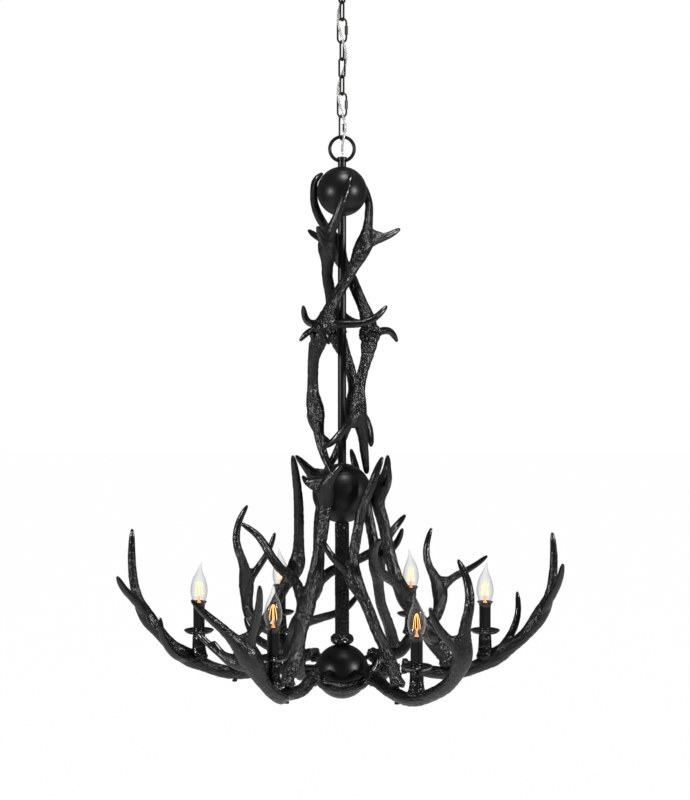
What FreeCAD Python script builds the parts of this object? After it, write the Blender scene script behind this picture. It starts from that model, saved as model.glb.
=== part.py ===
"""Antler chandelier with six candle lamps, hung from a ceiling canopy on a link chain.

All sizes are in millimetres.  The origin is on the ceiling, in the middle of the
mounting strap's upper face, and +Z points up, so the whole light lies below zero.
The antlers are cast pieces.  Their centrelines are given from the candle plane,
the level on which the six drip pans stand, and are lowered to their place.
"""
import FreeCAD, Part
import math
import os

import Sketcher
from FreeCAD import Placement, Rotation, Vector

os.makedirs("parts", exist_ok=True)
doc = FreeCAD.newDocument("antler_chandelier")
sheet = doc.addObject("Spreadsheet::Sheet", "Sizes")

DRIVING_SIZES = (
    ("seat_gap", 0.3),
    ("bore_play", 0.15),
    ("strap_length", 110.0),
    ("strap_width", 22.0),
    ("strap_thickness", 2.5),
    ("strap_hole_spacing", 88.9),
    ("strap_hole_dia", 4.8),
    ("nipple_dia", 10.0),
    ("nipple_bore", 6.6),
    ("canopy_dia", 130.0),
    ("canopy_height", 30.0),
    ("canopy_wall", 1.5),
    ("collar_dia", 24.0),
    ("collar_height", 6.0),
    ("loop_ring_radius", 12.0),
    ("loop_wire", 5.0),
    ("loop_neck_dia", 13.0),
    ("loop_neck_height", 8.0),
    ("link_wire", 4.0),
    ("link_length", 43.0),
    ("link_width", 17.0),
    ("quick_length", 53.0),
    ("quick_width", 24.0),
    ("quick_gap", 12.0),
    ("sleeve_nut_dia", 8.0),
    ("sleeve_nut_length", 17.0),
    ("sleeve_travel", 6.0),
    ("top_ring_dia", 56.0),
    ("top_ring_wire", 7.0),
    ("neck_dia", 17.0),
    ("neck_flange_dia", 20.0),
    ("neck_flange_height", 7.0),
    ("neck_height", 19.0),
    ("rod_dia", 17.0),
    ("rod_bore", 12.0),
    ("upper_ball_dia", 100.0),
    ("upper_ball_drop", 50.0),
    ("middle_ball_dia", 119.0),
    ("middle_ball_drop", 653.0),
    ("lower_ball_dia", 108.0),
    ("lower_ball_drop", 1009.0),
    ("ball_wall", 1.5),
    ("seam_height", 36.0),
    ("seam_depth", 1.0),
    ("stem_dia", 29.0),
    ("stem_burr_dia", 48.0),
    ("stem_burr_height", 20.0),
    ("candle_plane_drop", 933.0),
    ("candle_radius", 286.0),
    ("pan_dia", 60.0),
    ("pan_thickness", 2.0),
    ("pan_rim_height", 5.0),
    ("pan_collar_dia", 29.0),
    ("pan_collar_height", 6.0),
    ("candle_dia", 23.0),
    ("candle_wall", 1.5),
    ("candle_height", 46.0),
    ("cup_rim_dia", 33.0),
    ("cup_height", 9.0),
    ("socket_dia", 18.5),
    ("bulb_base_dia", 13.5),
    ("bulb_base_height", 22.0),
    ("bulb_dia", 35.0),
    ("bulb_height", 86.0),
    ("pedestal_top_dia", 24.0),
    ("pedestal_base_dia", 34.0),
    ("arm_beam_dia", 26.6),
    ("arm_tube_dia", 10.0),
    ("arm_tube_bore", 7.0),
    ("cord_dia", 5.0),
    ("dowel_dia", 6.0),
    ("dowel_length", 30.0),
    ("screw_dia", 5.0),
    ("screw_head_dia", 10.0),
    ("screw_head_height", 3.0),
    ("screw_depth", 24.0),
    ("thread_play", 0.2),
)
for row, (alias, value) in enumerate(DRIVING_SIZES, start=1):
    sheet.set("A%d" % row, alias)
    sheet.set("B%d" % row, str(value))
    sheet.setAlias("B%d" % row, alias)
doc.recompute()

UP = Vector(0, 0, 1)
EXPORTED = []


def size(alias):
    """The value of one driving size."""
    return float(sheet.get(alias))


def spot(x, y, z, turn=0.0):
    """A placement at x, y, z, turned about the vertical."""
    return Placement(Vector(x, y, z), Rotation(UP, turn))


def keep(piece, label):
    """Marks a finished sub-part and gives it its own name."""
    piece.Label = label
    EXPORTED.append(piece)
    return piece


def primitive(kind, name, place=None, **sizes):
    """A Part primitive whose sizes are expressions on the sheet's aliases."""
    piece = doc.addObject("Part::" + kind, name)
    for prop, formula in sizes.items():
        piece.setExpression(prop, formula)
    if place is not None:
        piece.Placement = place
    return piece


def boolean(kind, name, base, *tools):
    """Joins pieces into one solid, or cuts tools from a base."""
    if kind == "Fuse":
        result = doc.addObject("Part::MultiFuse", name)
        result.Shapes = [base, *tools]
        result.Refine = True
        return result
    for number, tool in enumerate(tools, start=1):
        cut = doc.addObject("Part::Cut", "%s_cut_%d" % (name, number))
        cut.Base = base
        cut.Tool = tool
        base = cut
    return base


def shaped(name, shape, place=None):
    """A free-form piece, with its placement set after its shape."""
    piece = doc.addObject("Part::Feature", name)
    piece.Shape = shape
    if place is not None:
        piece.Placement = place.multiply(shape.Placement)
    return piece


def plane_of(body, role):
    """The body's own origin plane with this role."""
    return next(item for item in body.Origin.OriginFeatures if item.Role == role)


def size_of(formula):
    """The number that a formula on the sheet's aliases gives now."""
    return float(sheet.evalExpression(formula))


def turned_body(name, outline, place):
    """A body of revolution about Z from (radius, height) formulas, all at or above zero."""
    body = doc.addObject("PartDesign::Body", name)
    sketch = body.newObject("Sketcher::SketchObject", name + "_outline")
    sketch.AttachmentSupport = [(plane_of(body, "XZ_Plane"), "")]
    sketch.MapMode = "FlatFace"
    corners = [Vector(size_of(radius), size_of(height), 0) for radius, height in outline]
    count = len(corners)
    for number, corner in enumerate(corners):
        sketch.addGeometry(Part.LineSegment(corner, corners[(number + 1) % count]), False)
    for number in range(count):
        sketch.addConstraint(Sketcher.Constraint("Coincident", number, 2, (number + 1) % count, 1))
    for number, formulas in enumerate(outline):
        for direction, formula, along in zip(("DistanceX", "DistanceY"), formulas, (0, 1)):
            value = corners[number][along]
            if value == 0.0:
                axis_line = -2 if along == 0 else -1
                sketch.addConstraint(Sketcher.Constraint("PointOnObject", number, 1, axis_line))
                continue
            rule = sketch.addConstraint(Sketcher.Constraint(direction, -1, 1, number, 1, value))
            sketch.setExpression("Constraints[%d]" % rule, formula)
    turning = body.newObject("PartDesign::Revolution", name + "_turn")
    turning.Profile = sketch
    turning.ReferenceAxis = (sketch, ["V_Axis"])
    turning.Angle = 360.0
    body.Tip = turning
    body.Placement = place
    return body


# ---- Levels down the chain, each worked out from the pieces that hang there ----
GAP = size("seat_gap")
LINK_WIRE = size("link_wire")
LINK_PITCH = size("link_length") - LINK_WIRE
QUICK_PITCH = size("quick_length") - LINK_WIRE
COLLAR_TOP = -size("canopy_height") - GAP
LOOP_TOP = COLLAR_TOP - size("loop_neck_height")
LOOP_CENTRE = LOOP_TOP - size("loop_ring_radius")
LOOP_HANG = LOOP_CENTRE - size("loop_ring_radius")

LINK_KINDS = ("oval", "oval", "oval", "quick", "oval", "oval", "oval", "quick", "quick")
LINK_TURNS = (60.0, -30.0)


def chain_plan():
    """Each link's kind, top wire level, bottom wire level and turn, from the canopy down."""
    plan = []
    level = LOOP_HANG
    wire_above = size("loop_wire")
    for number, kind in enumerate(LINK_KINDS):
        top = level + (wire_above + LINK_WIRE) / 2 + GAP
        pitch = LINK_PITCH if kind == "oval" else QUICK_PITCH
        level = top - pitch
        wire_above = LINK_WIRE
        plan.append((kind, top, level, LINK_TURNS[number % 2]))
    return plan


CHAIN = chain_plan()
RING_WIRE = size("top_ring_wire")
RING_TOP = CHAIN[-1][2] + (LINK_WIRE + RING_WIRE) / 2 + GAP
RING_RADIUS = (size("top_ring_dia") - RING_WIRE) / 2
RING_CENTRE = RING_TOP - RING_RADIUS
NECK_TOP = RING_CENTRE - RING_RADIUS + RING_WIRE + 1.5
BALL_TOP = NECK_TOP - size("neck_height")
CANDLE_PLANE = BALL_TOP - size("candle_plane_drop")
ROD_RADIUS = size("rod_dia") / 2
UPPER_CENTRE = BALL_TOP - size("upper_ball_drop")
MIDDLE_CENTRE = BALL_TOP - size("middle_ball_drop")
LOWER_CENTRE = BALL_TOP - size("lower_ball_drop")


# ---- Ceiling fitting ----
def make_strap():
    plate = primitive(
        "Box", "StrapPlate",
        Length="Sizes.strap_length", Width="Sizes.strap_width", Height="Sizes.strap_thickness")
    plate.setExpression("Placement.Base.x", "-Sizes.strap_length / 2")
    plate.setExpression("Placement.Base.y", "-Sizes.strap_width / 2")
    plate.setExpression("Placement.Base.z", "-Sizes.strap_thickness")
    tools = []
    for side in (-1, 1):
        hole = primitive(
            "Cylinder", "StrapHole", Radius="Sizes.strap_hole_dia / 2",
            Height="Sizes.strap_thickness * 3")
        hole.setExpression("Placement.Base.x", "%d * Sizes.strap_hole_spacing / 2" % side)
        hole.setExpression("Placement.Base.z", "-Sizes.strap_thickness * 2")
        tools.append(hole)
    centre = primitive(
        "Cylinder", "StrapCentreHole", Radius="Sizes.nipple_dia / 2 + Sizes.bore_play",
        Height="Sizes.strap_thickness * 3")
    centre.setExpression("Placement.Base.z", "-Sizes.strap_thickness * 2")
    keep(boolean("Cut", "Strap", plate, centre, *tools), "ceiling_strap")


def make_nipple():
    length = "(Sizes.canopy_height + Sizes.collar_height)"
    outer = primitive("Cylinder", "NippleRod", Radius="Sizes.nipple_dia / 2", Height=length)
    bore = primitive("Cylinder", "NippleBore", Radius="Sizes.nipple_bore / 2", Height=length)
    piece = boolean("Cut", "Nipple", outer, bore)
    for item in (outer, bore):
        item.setExpression("Placement.Base.z", "-%s" % length)
    keep(piece, "threaded_nipple")


def make_lock_nut():
    prism = doc.addObject("Part::Prism", "NutPrism")
    prism.Polygon = 6
    prism.setExpression("Circumradius", "Sizes.nipple_dia * 0.9")
    prism.setExpression("Height", "Sizes.nipple_dia * 0.4")
    bore = primitive(
        "Cylinder", "NutBore", Radius="Sizes.nipple_dia / 2 + Sizes.bore_play / 2",
        Height="Sizes.nipple_dia * 0.4")
    for item in (prism, bore):
        item.setExpression(
            "Placement.Base.z", "-Sizes.strap_thickness - Sizes.seat_gap - Sizes.nipple_dia * 0.4")
    keep(boolean("Cut", "LockNut", prism, bore), "strap_lock_nut")


def make_canopy():
    wall = "Sizes.canopy_wall"
    hole = "Sizes.nipple_dia / 2 + Sizes.bore_play"
    rim = "Sizes.canopy_dia / 2"
    outline = (
        (hole, "0"),
        ("Sizes.collar_dia * 0.8", "0"),
        (rim + " * 0.72", "Sizes.canopy_height * 0.22"),
        (rim + " * 0.92", "Sizes.canopy_height * 0.6"),
        (rim, "Sizes.canopy_height"),
        (rim + " - " + wall, "Sizes.canopy_height"),
        (rim + " * 0.92 - " + wall, "Sizes.canopy_height * 0.6 + " + wall + " * 0.4"),
        (rim + " * 0.72 - " + wall + " * 0.5", "Sizes.canopy_height * 0.22 + " + wall),
        ("Sizes.collar_dia * 0.8", wall),
        (hole, wall),
    )
    body = turned_body("Canopy", outline, spot(0, 0, -size("canopy_height")))
    keep(body, "ceiling_canopy")


def make_collar():
    ring = primitive("Cylinder", "CollarRing", Radius="Sizes.collar_dia / 2", Height="Sizes.collar_height")
    bore = primitive(
        "Cylinder", "CollarBore", Radius="Sizes.nipple_dia / 2 + Sizes.bore_play / 2",
        Height="Sizes.collar_height")
    for item in (ring, bore):
        item.Placement = spot(0, 0, COLLAR_TOP - size("collar_height"))
    keep(boolean("Cut", "Collar", ring, bore), "canopy_collar")


def make_loop():
    ring = primitive(
        "Torus", "LoopRing", Placement(Vector(0, 0, LOOP_CENTRE), Rotation(Vector(1, 0, 0), 90)),
        Radius1="Sizes.loop_ring_radius", Radius2="Sizes.loop_wire / 2")
    neck_low = LOOP_TOP - size("loop_wire") / 2
    neck_high = COLLAR_TOP - size("collar_height") - GAP
    neck = primitive("Cylinder", "LoopNeck", spot(0, 0, neck_low), Radius="Sizes.loop_neck_dia / 2")
    neck.Height = neck_high - neck_low
    body = boolean("Fuse", "LoopBody", ring, neck)
    bore = primitive("Cylinder", "LoopBore", spot(0, 0, neck_low - 1), Radius="Sizes.cord_dia / 2 + Sizes.bore_play")
    bore.Height = neck_high - neck_low + 2
    keep(boolean("Cut", "Loop", body, bore), "canopy_loop")


# ---- Chain ----
def link_wire_shape(width, top, bottom, opening=None):
    """A link in the X-Z plane: two straight bars and two round ends, with an optional gap."""
    bend = (width - LINK_WIRE) / 2
    high = top - bend
    low = bottom + bend
    crown = Part.Arc(Vector(bend, 0, high), Vector(0, 0, top), Vector(-bend, 0, high))
    left = Part.LineSegment(Vector(-bend, 0, high), Vector(-bend, 0, low))
    foot = Part.Arc(Vector(-bend, 0, low), Vector(0, 0, bottom), Vector(bend, 0, low))
    if opening is None:
        right = [Part.LineSegment(Vector(bend, 0, low), Vector(bend, 0, high))]
        curves = [crown, left, foot] + right
        start = Vector(bend, 0, high)
        tangent = UP
    else:
        upper = Part.LineSegment(Vector(bend, 0, opening[1]), Vector(bend, 0, high))
        lower = Part.LineSegment(Vector(bend, 0, low), Vector(bend, 0, opening[0]))
        curves = [upper, crown, left, foot, lower]
        start = Vector(bend, 0, opening[1])
        tangent = UP
    path = Part.Wire([curve.toShape() for curve in curves])
    section = Part.Wire([Part.Circle(start, tangent, LINK_WIRE / 2).toShape()])
    return path.makePipeShell([section], True, False)


def make_chain():
    ovals = 0
    quicks = 0
    for kind, top, bottom, turn in CHAIN:
        place = spot(0, 0, 0, turn)
        if kind == "oval":
            ovals += 1
            shape = link_wire_shape(size("link_width"), top, bottom)
            keep(shaped("Link%d" % ovals, shape, place), "chain_link_%d" % ovals)
            continue
        quicks += 1
        middle = (top + bottom) / 2
        half_gap = size("quick_gap") / 2
        shape = link_wire_shape(size("quick_width"), top, bottom, (middle - half_gap, middle + half_gap))
        keep(shaped("Quick%d" % quicks, shape, place), "quick_link_%d" % quicks)
        make_sleeve_nut(quicks, middle, turn)


def make_sleeve_nut(number, middle, turn):
    """The nut that closes a quick link's gap; it sits on the bar above and below the gap."""
    bar = (size("quick_width") - LINK_WIRE) / 2
    low = middle - size("sleeve_nut_length") / 2
    nut = doc.addObject("Part::Prism", "SleeveNutBody%d" % number)
    nut.Polygon = 6
    nut.setExpression("Circumradius", "Sizes.sleeve_nut_dia / 2")
    nut.setExpression("Height", "Sizes.sleeve_nut_length")
    bore = primitive(
        "Cylinder", "SleeveNutBore%d" % number,
        Radius="Sizes.link_wire / 2 + Sizes.bore_play / 2", Height="Sizes.sleeve_nut_length")
    side = Rotation(UP, turn).multVec(Vector(bar, 0, low))
    for item in (nut, bore):
        item.Placement = Placement(side, Rotation(UP, turn))
    keep(boolean("Cut", "SleeveNut%d" % number, nut, bore), "quick_link_nut_%d" % number)


# ---- Hanging ring, balls, rod and stem ----
HUB_HALF_HEIGHT = 12.0
HUB_LEVEL = LOWER_CENTRE + 6.0
END_NUT_HEIGHT = 8.0
ROD_LOW = HUB_LEVEL - HUB_HALF_HEIGHT - GAP - END_NUT_HEIGHT - 1.5


def make_top_ring():
    ring = primitive(
        "Torus", "TopRingWire", Placement(Vector(0, 0, RING_CENTRE), Rotation(Vector(1, 0, 0), 90)),
        Radius1="(Sizes.top_ring_dia - Sizes.top_ring_wire) / 2", Radius2="Sizes.top_ring_wire / 2")
    flange_low = NECK_TOP - size("neck_flange_height")
    flange = primitive(
        "Cylinder", "TopRingFlange", spot(0, 0, flange_low),
        Radius="Sizes.neck_flange_dia / 2", Height="Sizes.neck_flange_height")
    neck = primitive("Cylinder", "TopRingNeck", spot(0, 0, BALL_TOP + GAP), Radius="Sizes.neck_dia / 2")
    neck.setExpression("Height", "Sizes.neck_height - Sizes.seat_gap")
    spigot = primitive(
        "Cylinder", "TopRingSpigot", spot(0, 0, BALL_TOP - size("neck_height") / 2),
        Radius="Sizes.rod_bore / 2 - Sizes.bore_play / 2", Height="Sizes.neck_height * 0.75")
    body = boolean("Fuse", "TopRingBody", ring, flange, neck, spigot)
    bore = primitive(
        "Cylinder", "TopRingBore", spot(0, 0, BALL_TOP - size("neck_height")),
        Radius="Sizes.cord_dia / 2 + Sizes.bore_play")
    bore.setExpression("Height", "Sizes.neck_height * 2.5")
    keep(boolean("Cut", "TopRing", body, bore), "hanging_ring")


def make_ball(name, centre, diameter, seam, open_below=True):
    """A thin hollow ball with a bore for the rod and a fine seam where its cap meets it."""
    place = spot(0, 0, centre)
    outer = primitive("Sphere", name + "Outer", place, Radius="Sizes.%s / 2" % diameter)
    inner = primitive("Sphere", name + "Inner", place, Radius="Sizes.%s / 2 - Sizes.ball_wall" % diameter)
    radius = size(diameter) / 2
    bore = primitive(
        "Cylinder", name + "Bore", spot(0, 0, centre - radius - 1 if open_below else centre),
        Radius="Sizes.rod_dia / 2 + Sizes.bore_play")
    bore.setExpression("Height", "Sizes.%s + 2" % diameter)
    tools = [inner, bore]
    if seam:
        level = size("seam_height") * radius / (size("upper_ball_dia") / 2)
        ring_radius = math.sqrt(radius ** 2 - level ** 2)
        groove = primitive(
            "Torus", name + "Seam", spot(0, 0, centre + level), Radius2="Sizes.seam_depth / 2")
        groove.Radius1 = ring_radius
        tools.append(groove)
    return boolean("Cut", name, outer, *tools)


def make_rod():
    outer = primitive("Cylinder", "RodOuter", spot(0, 0, ROD_LOW), Radius="Sizes.rod_dia / 2")
    bore = primitive("Cylinder", "RodBore", spot(0, 0, ROD_LOW), Radius="Sizes.rod_bore / 2")
    for item in (outer, bore):
        item.Height = BALL_TOP - ROD_LOW
    keep(boolean("Cut", "Rod", outer, bore, *arm_tube_cutters("Rod")), "centre_rod")


def make_end_nut():
    """The nut inside the lower ball that draws the hub, the balls and the stem together."""
    prism = doc.addObject("Part::Prism", "EndNutPrism")
    prism.Polygon = 6
    prism.setExpression("Circumradius", "Sizes.rod_dia * 0.85")
    prism.Height = END_NUT_HEIGHT
    hole = primitive("Cylinder", "EndNutHole", Radius="Sizes.rod_dia / 2 + Sizes.bore_play / 2")
    hole.Height = END_NUT_HEIGHT
    for item in (prism, hole):
        item.Placement = spot(0, 0, HUB_LEVEL - HUB_HALF_HEIGHT - GAP - END_NUT_HEIGHT)
    keep(boolean("Cut", "EndNut", prism, hole), "end_nut")


def make_stem():
    """The ribbed cast stem round the rod between the middle and lower balls, with its burr."""
    middle_low = MIDDLE_CENTRE - size("middle_ball_dia") / 2
    lower_high = LOWER_CENTRE + size("lower_ball_dia") / 2
    burr_low = lower_high + GAP
    stem = primitive("Cylinder", "StemTube", spot(0, 0, burr_low), Radius="Sizes.stem_dia / 2")
    stem.Height = middle_low - GAP - burr_low
    burr = primitive(
        "Torus", "StemBurr", spot(0, 0, burr_low + size("stem_burr_height") / 2),
        Radius1="Sizes.stem_burr_dia / 2 - Sizes.stem_burr_height / 2",
        Radius2="Sizes.stem_burr_height / 2")
    body = boolean("Fuse", "StemBody", stem, burr)
    bore = primitive("Cylinder", "StemBore", spot(0, 0, burr_low - 1), Radius="Sizes.rod_dia / 2 + Sizes.bore_play")
    bore.Height = stem.Height.Value + 2
    keep(boolean("Cut", "Stem", body, bore), "lower_stem")


# ---- Wiring hub and arm tubes ----
HUB_RADIUS = 21.0
WIRE_HOLE_RADIUS = 2.5
ARM_START_RADIUS = 117.0
ARM_START_LEVEL = -66.0
CANDLE_ANGLES = (0.0, 59.0, 117.5, 180.0, 243.5, 299.0)
CANDLE_DROPS = (0.0, 12.0, 10.0, 0.0, 0.0, 18.0)


def arm_line(angle):
    """The direction and length of the straight tube from the hub to an arm's burr."""
    radians = math.radians(angle)
    line = Vector(
        ARM_START_RADIUS * math.cos(radians), ARM_START_RADIUS * math.sin(radians),
        CANDLE_PLANE + ARM_START_LEVEL - HUB_LEVEL)
    length = line.Length
    return line.normalize(), length


def radial_place(angle, start):
    """A placement whose Z axis runs along an arm tube, starting this far from the rod's axis."""
    direction = arm_line(angle)[0]
    return Placement(Vector(0, 0, HUB_LEVEL) + direction * start, Rotation(UP, direction))


def arm_tube_cutters(name):
    """Six thin cylinders that drill the wire holes."""
    cutters = []
    for number, angle in enumerate(CANDLE_ANGLES, start=1):
        cutter = primitive("Cylinder", "%sWireHole%d" % (name, number), radial_place(angle, 1.0))
        cutter.Radius = WIRE_HOLE_RADIUS
        cutter.setExpression("Height", "Sizes.rod_dia")
        cutters.append(cutter)
    return cutters


def make_hub():
    hub = primitive("Cylinder", "HubBody", spot(0, 0, HUB_LEVEL - HUB_HALF_HEIGHT))
    hub.Radius = HUB_RADIUS
    hub.Height = 2 * HUB_HALF_HEIGHT
    tubes = []
    bores = []
    for number, angle in enumerate(CANDLE_ANGLES, start=1):
        reach = arm_line(angle)[1] - 3 * GAP
        tube = primitive(
            "Cylinder", "ArmTube%d" % number, radial_place(angle, HUB_RADIUS * 0.7),
            Radius="Sizes.arm_tube_dia / 2")
        tube.Height = reach - HUB_RADIUS * 0.7
        tubes.append(tube)
        bore = primitive(
            "Cylinder", "ArmTubeBore%d" % number, radial_place(angle, 0.0),
            Radius="Sizes.arm_tube_bore / 2")
        bore.Height = reach + 1
        bores.append(bore)
    rod_hole = primitive(
        "Cylinder", "HubRodHole", spot(0, 0, HUB_LEVEL - HUB_HALF_HEIGHT - 1),
        Radius="Sizes.rod_dia / 2 + Sizes.bore_play")
    rod_hole.Height = 2 * HUB_HALF_HEIGHT + 2
    fused = boolean("Fuse", "HubFused", hub, *tubes)
    keep(boolean("Cut", "Hub", fused, rod_hole, *bores), "wiring_hub")


def make_balls():
    keep(make_ball("UpperBall", UPPER_CENTRE, "upper_ball_dia", True), "upper_ball")
    keep(make_ball("MiddleBall", MIDDLE_CENTRE, "middle_ball_dia", True), "middle_ball")
    lower = make_ball("LowerBall", LOWER_CENTRE, "lower_ball_dia", False, False)
    holes = []
    for number, angle in enumerate(CANDLE_ANGLES, start=1):
        hole = primitive(
            "Cylinder", "LowerBallHole%d" % number, radial_place(angle, HUB_RADIUS),
            Radius="Sizes.arm_tube_dia / 2 + Sizes.bore_play", Height="Sizes.lower_ball_dia / 2")
        holes.append(hole)
    keep(boolean("Cut", "LowerBallDrilled", lower, *holes), "lower_ball")


# ---- Antlers: centreline points (x, y, level from the candle plane, radius) ----
ARM_RADIUS = size("arm_beam_dia") / 2
SEAT_RADIUS = ARM_RADIUS + 0.7
SEAT_LEVEL = -80.0
BASE_LEVEL = SEAT_LEVEL + SEAT_RADIUS - 2.0
ROD_CLEAR = ROD_RADIUS + 22.5
UPRIGHT_TOP_RADIUS = 12.5
UPRIGHT_TOUCH = (size("middle_ball_dia") / 2 + UPRIGHT_TOP_RADIUS + GAP, 4.0)
MIDDLE_TIP = (50.0, 12.7, 317.0)
BURR_JOINT = 600.0
BURR_SPOT = (-42.0, -40.0)
MIDDLE_BURR_SPOT = tuple(Rotation(UP, 120.0).multVec(Vector(*BURR_SPOT, 0)))[:2]

UPPER_ANTLER = (
    ((*BURR_SPOT, BURR_JOINT + GAP / 2, 13), (-41, -40, 606, 19), (-38, -40, 616, 14.5),
     (-26, -38, 645, 12.5), (-6, -ROD_CLEAR, 682, 12), (14, -ROD_CLEAR + 5, 716, 11.5),
     (33, -14, 752, 12), (46, -8, 784, 11), (51, 6, 808, 10), (54, 22, 834, 9),
     (54, 33, 861, 7.6), (48, 38, 884, 6.8), (37, 41, 904, 5.5), (16.7, 33.5, 920.7, 3)),
    ((42, -8, 773, 11.5), (64, -4, 785, 9.5), (92, 5, 795, 6.5), (118, 13, 810, 3)),
    ((-38, -40, 610, 8), (-10, -50, 618, 7.5), (36, -52, 620, 7), (66, -46, 632, 6), (90, -36, 656, 3)),
)
MIDDLE_ANTLER = (
    ((*MIDDLE_BURR_SPOT, BURR_JOINT - GAP / 2, 13), (55, -19, 594, 19), (54, -23, 584, 14),
     (50, -35, 556, 12), (38, -45, 512, 11), (33, -47, 470, 11), (33, -40, 438, 12.5),
     (39.5, -31, 406, 11), (42.5, -24.5, 383, 9.5), (46, -10, 350, 7.5), (*MIDDLE_TIP, 4.5)),
    ((33, -44, 448, 10), (24, -56, 436, 9), (10, -62, 420, 8), (-5, -61, 402, 7), (-18, -56, 388, 6),
     (-38.6, -45, 374, 3)),
    ((54, -18, 590, 8), (76, -2, 603, 7.5), (97, 18, 602, 6), (112, 36, 580, 3)),
)
UPRIGHT_TYPE_1 = (
    ((210, 0, BASE_LEVEL, 14), (209, 0, -60, 19), (206, 0, -50, 15),
     (184, 0, -15, 13.5), (154, -3, 30, 13.5), (124, -7, 78, 13.5), (105, -4, 122, 13.5),
     (92, 1, 174, 12.5), (80, 4, 230, 13), (*UPRIGHT_TOUCH, 272, UPRIGHT_TOP_RADIUS), (84, 12, 300, 11),
     (91, 32, 326, 8), (93, 56, 351, 3)),
    ((82, 8, 290, 9), (88, -8, 300, 8), (91, -24, 308, 6), (91, -38, 322, 3)),
    ((130, -8, 70, 11), (120, -24, 92, 11), (103, -44, 110, 10.5), (86, -82, 127, 10),
     (66, -128, 156, 9), (61, -160, 190, 7), (73, -196, 216, 3)),
    ((184, -4, -14, 9), (176, -60, -2, 8.5), (164, -104, 14, 7), (155, -131, 45, 3)),
)
UPRIGHT_TYPE_2 = (
    ((104, -188, BASE_LEVEL, 14), (104, -186, -60, 18), (102, -182, -50, 14),
     (91, -166, -17, 12), (67, -134, 30, 11.5), (42, -110, 88, 11.5), (21, -94, 132, 12.5),
     (22, -88, 170, 11), (31, -82, 218, 10.5), (39, -78, 257, 10), (54, -72, 294, 9),
     (67, -69, 328, 7), (80, -67, 360, 3)),
    ((24, -96, 126, 9), (4, -100, 146, 8.5), (-20, -114, 172, 6.5), (-40, -118, 207, 3)),
)
SWIRL_RADIUS = 84.0
SWIRL_LEVEL = ARM_START_LEVEL - size("arm_tube_dia") / 2 - GAP
SWIRL_STATIONS = (
    (226.0, 10.0, 12.0), (229.0, 6.0, 16.0), (234.0, 0.0, 12.0), (243.5, -12.5, 11.0),
    (257.0, -18.0, 11.5), (271.0, -20.0, 11.5), (286.0, -17.0, 11.0), (299.0, -12.5, 11.0),
    (309.0, 0.0, 9.5), (317.0, 12.0, 7.0), (324.0, 26.0, 5.0), (330.0, 42.0, 3.0))


INNER_SEAT = UPRIGHT_TYPE_1[0][0][:2]
FRONT_SEAT = UPRIGHT_TYPE_2[0][0][:2]


def turned_spot(corner, angle):
    """A point of the candle plane, turned about the rod's axis."""
    turned = Rotation(UP, angle).multVec(Vector(*corner, 0))
    return (turned.x, turned.y)


UPRIGHT_SEATS = (
    INNER_SEAT, turned_spot(FRONT_SEAT, 120.0), turned_spot(INNER_SEAT, 120.0),
    turned_spot(FRONT_SEAT, 240.0), turned_spot(INNER_SEAT, 240.0), FRONT_SEAT)


def arm_root(angle):
    """The three points at an arm's burr, in line with the tube that carries it."""
    radians = math.radians(angle)
    across, along = math.cos(radians), math.sin(radians)
    stations = ((0.0, 14.0), (8.0, 18.0), (19.0, 14.0))
    return tuple(
        ((ARM_START_RADIUS + step) * across, (ARM_START_RADIUS + step) * along,
         ARM_START_LEVEL - step * 0.1, radius)
        for step, radius in stations)


def candle_point(number):
    """The place on an arm's beam under its candle, on the circle the arms are drawn for."""
    radians = math.radians(CANDLE_ANGLES[number])
    return (
        DRAWN_CANDLE_RADIUS * math.cos(radians), DRAWN_CANDLE_RADIUS * math.sin(radians),
        CANDLE_BEAM_LEVELS[number], ARM_RADIUS)


def seat_point(number):
    """The place on an arm's beam under the burr of an upright antler."""
    return (*UPRIGHT_SEATS[number], SEAT_LEVEL, SEAT_RADIUS)


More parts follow.
